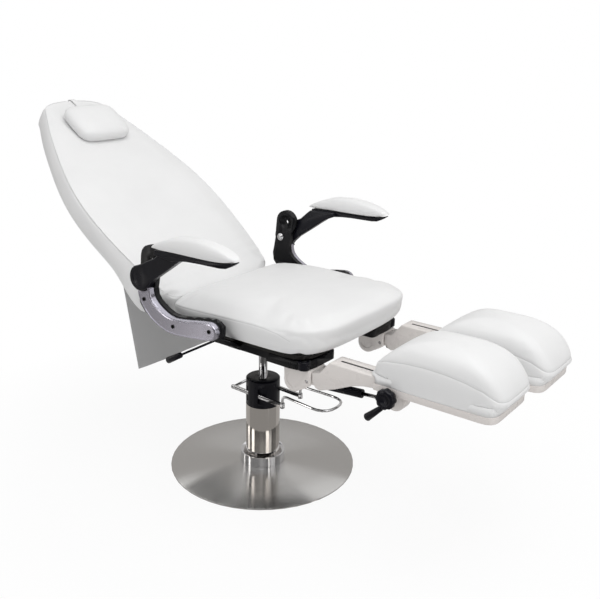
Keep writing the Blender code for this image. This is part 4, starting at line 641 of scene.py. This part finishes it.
def fill_out(piece, held, cap):
    """Blows the cover up by a cloth simulation, by the cap at most, and kept still where held is true."""
    rest = points_of(piece)
    group_of(piece, "held", held)
    cloth = piece.modifiers.new("cloth", "CLOTH")
    cloth.settings.quality = 4
    cloth.settings.mass = 0.3
    cloth.settings.tension_stiffness = 12.0
    cloth.settings.compression_stiffness = 12.0
    cloth.settings.bending_stiffness = 0.8
    cloth.settings.use_pressure = True
    cloth.settings.uniform_pressure_force = CLOTH_PRESSURE
    cloth.settings.vertex_group_mass = "held"
    cloth.settings.effector_weights.gravity = 0.0
    cloth.point_cache.frame_start = 1
    cloth.point_cache.frame_end = CLOTH_FRAMES
    for now in range(1, CLOTH_FRAMES + 1):
        bpy.context.scene.frame_set(now)
    blown = piece.evaluated_get(bpy.context.evaluated_depsgraph_get())
    out = np.empty(len(blown.data.vertices) * 3, np.float32)
    blown.data.vertices.foreach_get("co", out)
    piece.modifiers.remove(cloth)
    piece.vertex_groups.clear()
    bpy.context.scene.frame_set(1)
    move = out.reshape(-1, 3).astype(float) - rest
    length = np.linalg.norm(move, axis=1, keepdims=True)
    move *= np.minimum(1.0, cap / np.maximum(length, 1e-9))
    set_points(piece, rest + move)


def stuffed(
    node,
    seam,
    bottom,
    drawn_in=0.0010,
    cap=0.005,
    groove=0.0010,
    crease=0.35,
    plain=False,
    ease=None,
    rounds=30,
    folds=None,
    lap=None,
):
    """A padded cover over its packed form, blown out between its seams.

    seam gives each point's distance from the seam, and bottom says which points rest on the board. The cover
    is drawn in, then blown out by up to the cap, and sunk along its seam by the groove. crease is how sharp the
    packed form's corners stay, and plain keeps them as they are. ease says which points are evened out, and
    rounds how many times. folds moves points, and lap is the tray whose wall the cover is drawn down over.
    """
    made = copy_of(node, node + "_upholstered")
    bpy.ops.object.mode_set(mode="EDIT")
    bpy.ops.mesh.tris_convert_to_quads(face_threshold=radians(50), shape_threshold=radians(60))
    bpy.ops.mesh.select_mode(type="EDGE")
    bpy.ops.mesh.select_all(action="DESELECT")
    bpy.ops.mesh.edges_select_sharp(sharpness=radians(48))
    bpy.ops.transform.edge_crease(value=crease)
    bpy.ops.object.mode_set(mode="OBJECT")
    way = "SIMPLE" if plain else "CATMULL_CLARK"
    apply(made, "SUBSURF", levels=2, render_levels=2, subdivision_type=way)
    if ease is not None:
        relax(made, ease(points_of(made)), rounds)
    loose = ~bottom(points_of(made))
    push_in(made, loose, drawn_in)
    fill_out(made, (np.abs(seam(points_of(made))) < SEAM_HELD) | ~loose, cap)
    if not plain:
        apply(made, "SUBSURF", levels=1, render_levels=1)
    if folds is not None:
        set_points(made, folds(points_of(made)))
    if ease is not None:
        relax(made, ease(points_of(made)), 10)
    if lap is not None:
        band = lap_over(lap)
        pick(made)
        band.select_set(True)
        bpy.ops.object.join()
    sew(made, seam, groove)
    stands_for(made, node, WHITE_COVER)
    return made


def lap_over(tray):
    """A band of the cover round the tray's upright wall."""
    low, high = LAP
    band = copy_of(tray, tray + "_lap")
    bpy.ops.object.mode_set(mode="EDIT")
    for height, under in ((low, True), (high, False)):
        bpy.ops.mesh.select_all(action="SELECT")
        bpy.ops.mesh.bisect(
            plane_co=(0.0, 0.0, height),
            plane_no=(0.0, 0.0, 1.0),
            use_fill=True,
            clear_inner=under,
            clear_outer=not under,
        )
    bpy.ops.object.mode_set(mode="OBJECT")
    apply(band, "DISPLACE", strength=LAP_THICK, mid_level=0.0)
    return band


def sew(piece, seam, depth):
    """Sinks the cover along its seam, and marks each point's distance from it for the finish."""
    points = points_of(piece)
    normals = np.empty(len(piece.data.vertices) * 3, np.float32)
    piece.data.vertices.foreach_get("normal", normals)
    away = seam(points)
    pull = depth * np.exp(-((away / GROOVE_WIDTH) ** 2))
    set_points(piece, points - normals.reshape(-1, 3) * pull[:, None])
    field = piece.data.attributes.new("seam_distance", "FLOAT", "POINT")
    field.data.foreach_set("value", away.astype(np.float32))
    for face in piece.data.polygons:
        face.use_smooth = True


def mirrored(source, node, shift):
    """The far side's copy of a near piece, turned the right way out."""
    made = bpy.data.objects.new(node + "_upholstered", source.data.copy())
    bpy.context.scene.collection.objects.link(made)
    made.data.transform(Matrix.Translation(shift) @ Matrix.Diagonal((-1.0, 1.0, 1.0, 1.0)))
    made.data.flip_normals()
    stands_for(made, node, WHITE_COVER)


def folds_of_back(points):
    """Soft pulls across the lower end, where the back's cover is tucked in behind the seat."""
    across, along, out = in_back(points)
    lifted = np.zeros(len(points))
    for at, width, height, lean in BACK_FOLDS:
        lifted += height * np.exp(-(((along - at - lean * across) / width) ** 2))
    lifted *= np.clip((out - BACK_SEAM + 0.004) / 0.010, 0.0, 1.0)
    return points + np.outer(lifted, (0.0, -sin(RECLINE), cos(RECLINE)))


def plump_seat(points):
    """The foam stands a little higher than its packed form behind the middle."""
    x, y, z = points.T
    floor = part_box("seat_cushion")[0].z
    half, middle, reach = 0.283, -0.05, 0.20
    share = np.clip(1.0 - (np.abs(x) / half) ** 9, 0.0, 1.0) * np.exp(-(((y - middle) / reach) ** 2))
    share *= np.clip((z - floor - 0.050) / 0.030, 0.0, 1.0)
    return points + np.outer(share * SEAT_PLUMP, (0.0, 0.0, 1.0))


def upholster():
    seat_floor, pad_floor = (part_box(node)[0].z for node in ("seat_cushion", "leg_pad_near"))
    stuffed(
        "seat_cushion",
        seam_of_seat,
        lambda p: p[:, 2] < seat_floor + 0.010,
        groove=0.0004,
        crease=0.0,
        ease=lambda p: p[:, 2] > seat_floor + 0.024,
        rounds=90,
        folds=plump_seat,
    )
    stuffed("back_cushion", seam_of_back, lambda p: in_back(p)[2] < BACK_REAR, folds=folds_of_back)
    stuffed("head_pillow", no_seam, lambda p: in_back(p)[2] < PILLOW_REAR, cap=0.001, crease=0.95)
    near_arm = stuffed("armrest_pad_near", no_seam, lambda p: p[:, 2] < 0.7960, drawn_in=0.0005, cap=0.002)
    near_pad = stuffed(
        "leg_pad_near",
        seam_of_pad,
        lambda p: p[:, 2] < pad_floor + 0.026,
        cap=0.003,
        plain=True,
        ease=lambda p: p[:, 2] > pad_floor + 0.030,
        lap="leg_tray_near",
    )
    mirrored(near_arm, "armrest_pad_far", (0.0, 0.0, 0.0))
    mirrored(near_pad, "leg_pad_far", (0.0, -FAR_DRAWN_OUT, 0.0))


# ---------------------------------------------------------------- thin soft pieces
def pillow_strap():
    """The elastic band that holds the pillow, rounded over the top of the back."""
    made = copy_of("pillow_strap", "pillow_strap_band")
    apply(made, "BEVEL", width=0.0003, segments=1, limit_method="ANGLE", angle_limit=radians(60.0))
    apply(made, "SUBSURF", levels=2, render_levels=2)
    pick(made)
    bpy.ops.object.shade_smooth_by_angle(angle=radians(50.0))
    sew(made, no_seam, 0.0)
    stands_for(made, "pillow_strap", WHITE_COVER)


def rear_apron():
    """The apron that hangs behind the seat: a tapered grid in slack folds, then given thickness, in a grey that
    is painted shade.
    """
    bpy.ops.mesh.primitive_grid_add(x_subdivisions=72, y_subdivisions=48, size=2.0)
    made = bpy.context.object
    made.name = "rear_apron"
    points = points_of(made)
    across, down = points[:, 0], (1.0 - points[:, 1]) / 2
    half = FLAP_HALF_TOP + (FLAP_HALF_BOTTOM - FLAP_HALF_TOP) * down
    folds = 0.0032 * np.sin(across * 4.6) * down + 0.0012 * np.sin(across * 11.0 + 1.0) * down
    hang = np.stack(
        [across * half, FLAP_TOP.y + folds, FLAP_TOP.z + (FLAP_BOTTOM - FLAP_TOP.z) * down], axis=1
    )
    set_points(made, hang)
    apply(made, "SOLIDIFY", thickness=FLAP_THICK, offset=0.0)
    bpy.ops.object.shade_smooth_by_angle(angle=radians(50.0))
    stands_for(made, "rear_flap", GREY_COVER_PAINTED_SHADE)


# ---------------------------------------------------------------- studio
def camera():
    """The photograph's viewpoint, found from the disc's ellipse and the chair's straight edges."""
    lens, place = 48.15, Vector((-1.8272, -1.5046, 1.3481))
    heading, dip, roll = radians(-53.276), radians(18.381), radians(1.160)
    look = Vector((-sin(heading) * cos(dip), cos(heading) * cos(dip), -sin(dip)))
    right = look.cross(Vector((0, 0, 1))).normalized()
    up = right.cross(look)
    right, up = right * cos(roll) + up * sin(roll), up * cos(roll) - right * sin(roll)
    turned = Matrix((right, up, -look)).transposed()
    data = bpy.data.cameras.new("photo_camera")
    data.lens = lens
    data.sensor_width = 36.0
    made = bpy.data.objects.new("photo_camera", data)
    made.matrix_world = Matrix.Translation(place) @ turned.to_4x4()
    bpy.context.scene.collection.objects.link(made)
    bpy.context.scene.camera = made


def seen_directly(tree):
    """1 for camera, mirror and glass rays, which see the white background."""
    path = tree.nodes.new("ShaderNodeLightPath")
    seen = arithmetic(tree, "MAXIMUM", path.outputs["Is Camera Ray"], path.outputs["Is Glossy Ray"])
    return arithmetic(tree, "MAXIMUM", seen, path.outputs["Is Transmission Ray"])


def softbox(name, place, aim, size, power):
    data = bpy.data.lights.new(name, "AREA")
    data.energy = power
    data.size = size
    made = bpy.data.objects.new(name, data)
    made.location = place
    made.rotation_euler = (Vector(aim) - Vector(place)).to_track_quat("-Z", "Y").to_euler()
    bpy.context.scene.collection.objects.link(made)


def white_world():
    """A white background over a softer light."""
    world = bpy.data.worlds.new("studio")
    world.use_nodes = True
    bpy.context.scene.world = world
    tree = world.node_tree
    soft = tree.nodes["Background"]
    soft.inputs["Color"].default_value = (1.0, 1.0, 1.0, 1.0)
    soft.inputs["Strength"].default_value = 0.62
    white = tree.nodes.new("ShaderNodeBackground")
    white.inputs["Color"].default_value = (1.0, 1.0, 1.0, 1.0)
    white.inputs["Strength"].default_value = 1.0
    mix = tree.nodes.new("ShaderNodeMixShader")
    tree.links.new(seen_directly(tree), mix.inputs[0])
    tree.links.new(soft.outputs[0], mix.inputs[1])
    tree.links.new(white.outputs[0], mix.inputs[2])
    tree.links.new(mix.outputs[0], tree.nodes["World Output"].inputs["Surface"])


def white_floor():
    """A floor that takes the chair's soft shadow and glows up to plain white away from it."""
    bpy.ops.mesh.primitive_plane_add(size=16.0, location=(0.0, 0.0, -FLOOR_UNDER))
    floor = bpy.context.object
    floor.name = "studio_floor"
    made = bpy.data.materials.new("studio_floor")
    made.use_nodes = True
    tree = made.node_tree
    shader = tree.nodes["Principled BSDF"]
    shader.inputs["Base Color"].default_value = (0.92, 0.92, 0.92, 1.0)
    shader.inputs["Roughness"].default_value = 0.9
    glow = tree.nodes.new("ShaderNodeEmission")
    glow.inputs["Strength"].default_value = 1.0
    mix = tree.nodes.new("ShaderNodeMixShader")
    away = tree.nodes.new("ShaderNodeVectorMath")
    away.operation = "LENGTH"
    tree.links.new(place_on(tree), away.inputs[0])
    fade = spread(tree, away.outputs["Value"], 0.90, 1.0, 0.7, 1.3)
    share = arithmetic(tree, "MULTIPLY", seen_directly(tree), fade)
    tree.links.new(share, mix.inputs[0])
    tree.links.new(shader.outputs[0], mix.inputs[1])
    tree.links.new(glow.outputs[0], mix.inputs[2])
    tree.links.new(mix.outputs[0], tree.nodes["Material Output"].inputs["Surface"])
    dress(floor, made)
    floor.visible_glossy = False


def drapes():
    """Cloths all round and on the floor, which only mirror-like surfaces see: they give metal its bands.

    Those on the camera's side are dark and the others are grey, with bright narrow windows among them.
    """
    bpy.ops.mesh.primitive_cylinder_add(
        vertices=180,
        radius=DRAPE_RADIUS,
        depth=DRAPE_HEIGHT,
        end_fill_type="TRIFAN",
        location=(0.0, 0.0, DRAPE_HEIGHT / 2 - DRAPE_UNDER),
    )
    cloth = bpy.context.object
    cloth.name = "studio_drapes"
    settle(cloth)
    for level in DRAPE_LEVELS:
        cloth.data.materials.append(plain_glow(f"studio_drapes_{level:.2f}", level))
    for face in cloth.data.polygons:
        bearing = degrees(atan2(face.center.y, face.center.x)) % 360.0
        on_floor = face.center.z < 0.1
        if any(abs(bearing - window) < half for window, half in WINDOWS):
            face.material_index = WINDOW_FLOOR if on_floor else WINDOW
        elif abs(bearing - CAMERA_BEARING) > DARK_REACH:
            face.material_index = GREY
        else:
            face.material_index = DARK_FLOOR if on_floor else DARK
    edit_faces(cloth, lambda face: face.center.z > DRAPE_HEIGHT - 0.1)
    bpy.ops.mesh.delete(type="FACE")
    bpy.ops.object.mode_set(mode="OBJECT")
    cloth.visible_camera = False
    cloth.visible_diffuse = False
    cloth.visible_transmission = False
    cloth.visible_shadow = False


def plain_glow(name, level):
    """A material that only gives off light."""
    made = bpy.data.materials.new(name)
    made.use_nodes = True
    tree = made.node_tree
    tree.nodes.remove(tree.nodes["Principled BSDF"])
    glow = tree.nodes.new("ShaderNodeEmission")
    glow.inputs["Color"].default_value = (1.0, 0.975, 0.950, 1.0)
    glow.inputs["Strength"].default_value = level
    tree.links.new(glow.outputs[0], tree.nodes["Material Output"].inputs["Surface"])
    return made


refine_hard_pieces()
for side_name, side in SIDES.items():
    side_cover(side_name, side)
    slot_liner(side_name)
    corner_boss(side_name, side)
    for index, (screw_y, screw_z) in enumerate(COVER_SCREWS):
        socket_screw(f"cover_screw_{side_name}_{index + 1}", screw_y, screw_z, side)
upholster()
pillow_strap()
rear_apron()

camera()
white_world()
white_floor()
softbox("key_softbox", (-0.5, -0.9, 3.1), (0.0, -0.1, 0.6), 2.4, 40.0)
softbox("front_softbox", (0.2, -3.3, 1.7), (0.0, -0.2, 0.6), 1.6, 12.0)
drapes()

bpy.context.scene.view_settings.view_transform = "Standard"
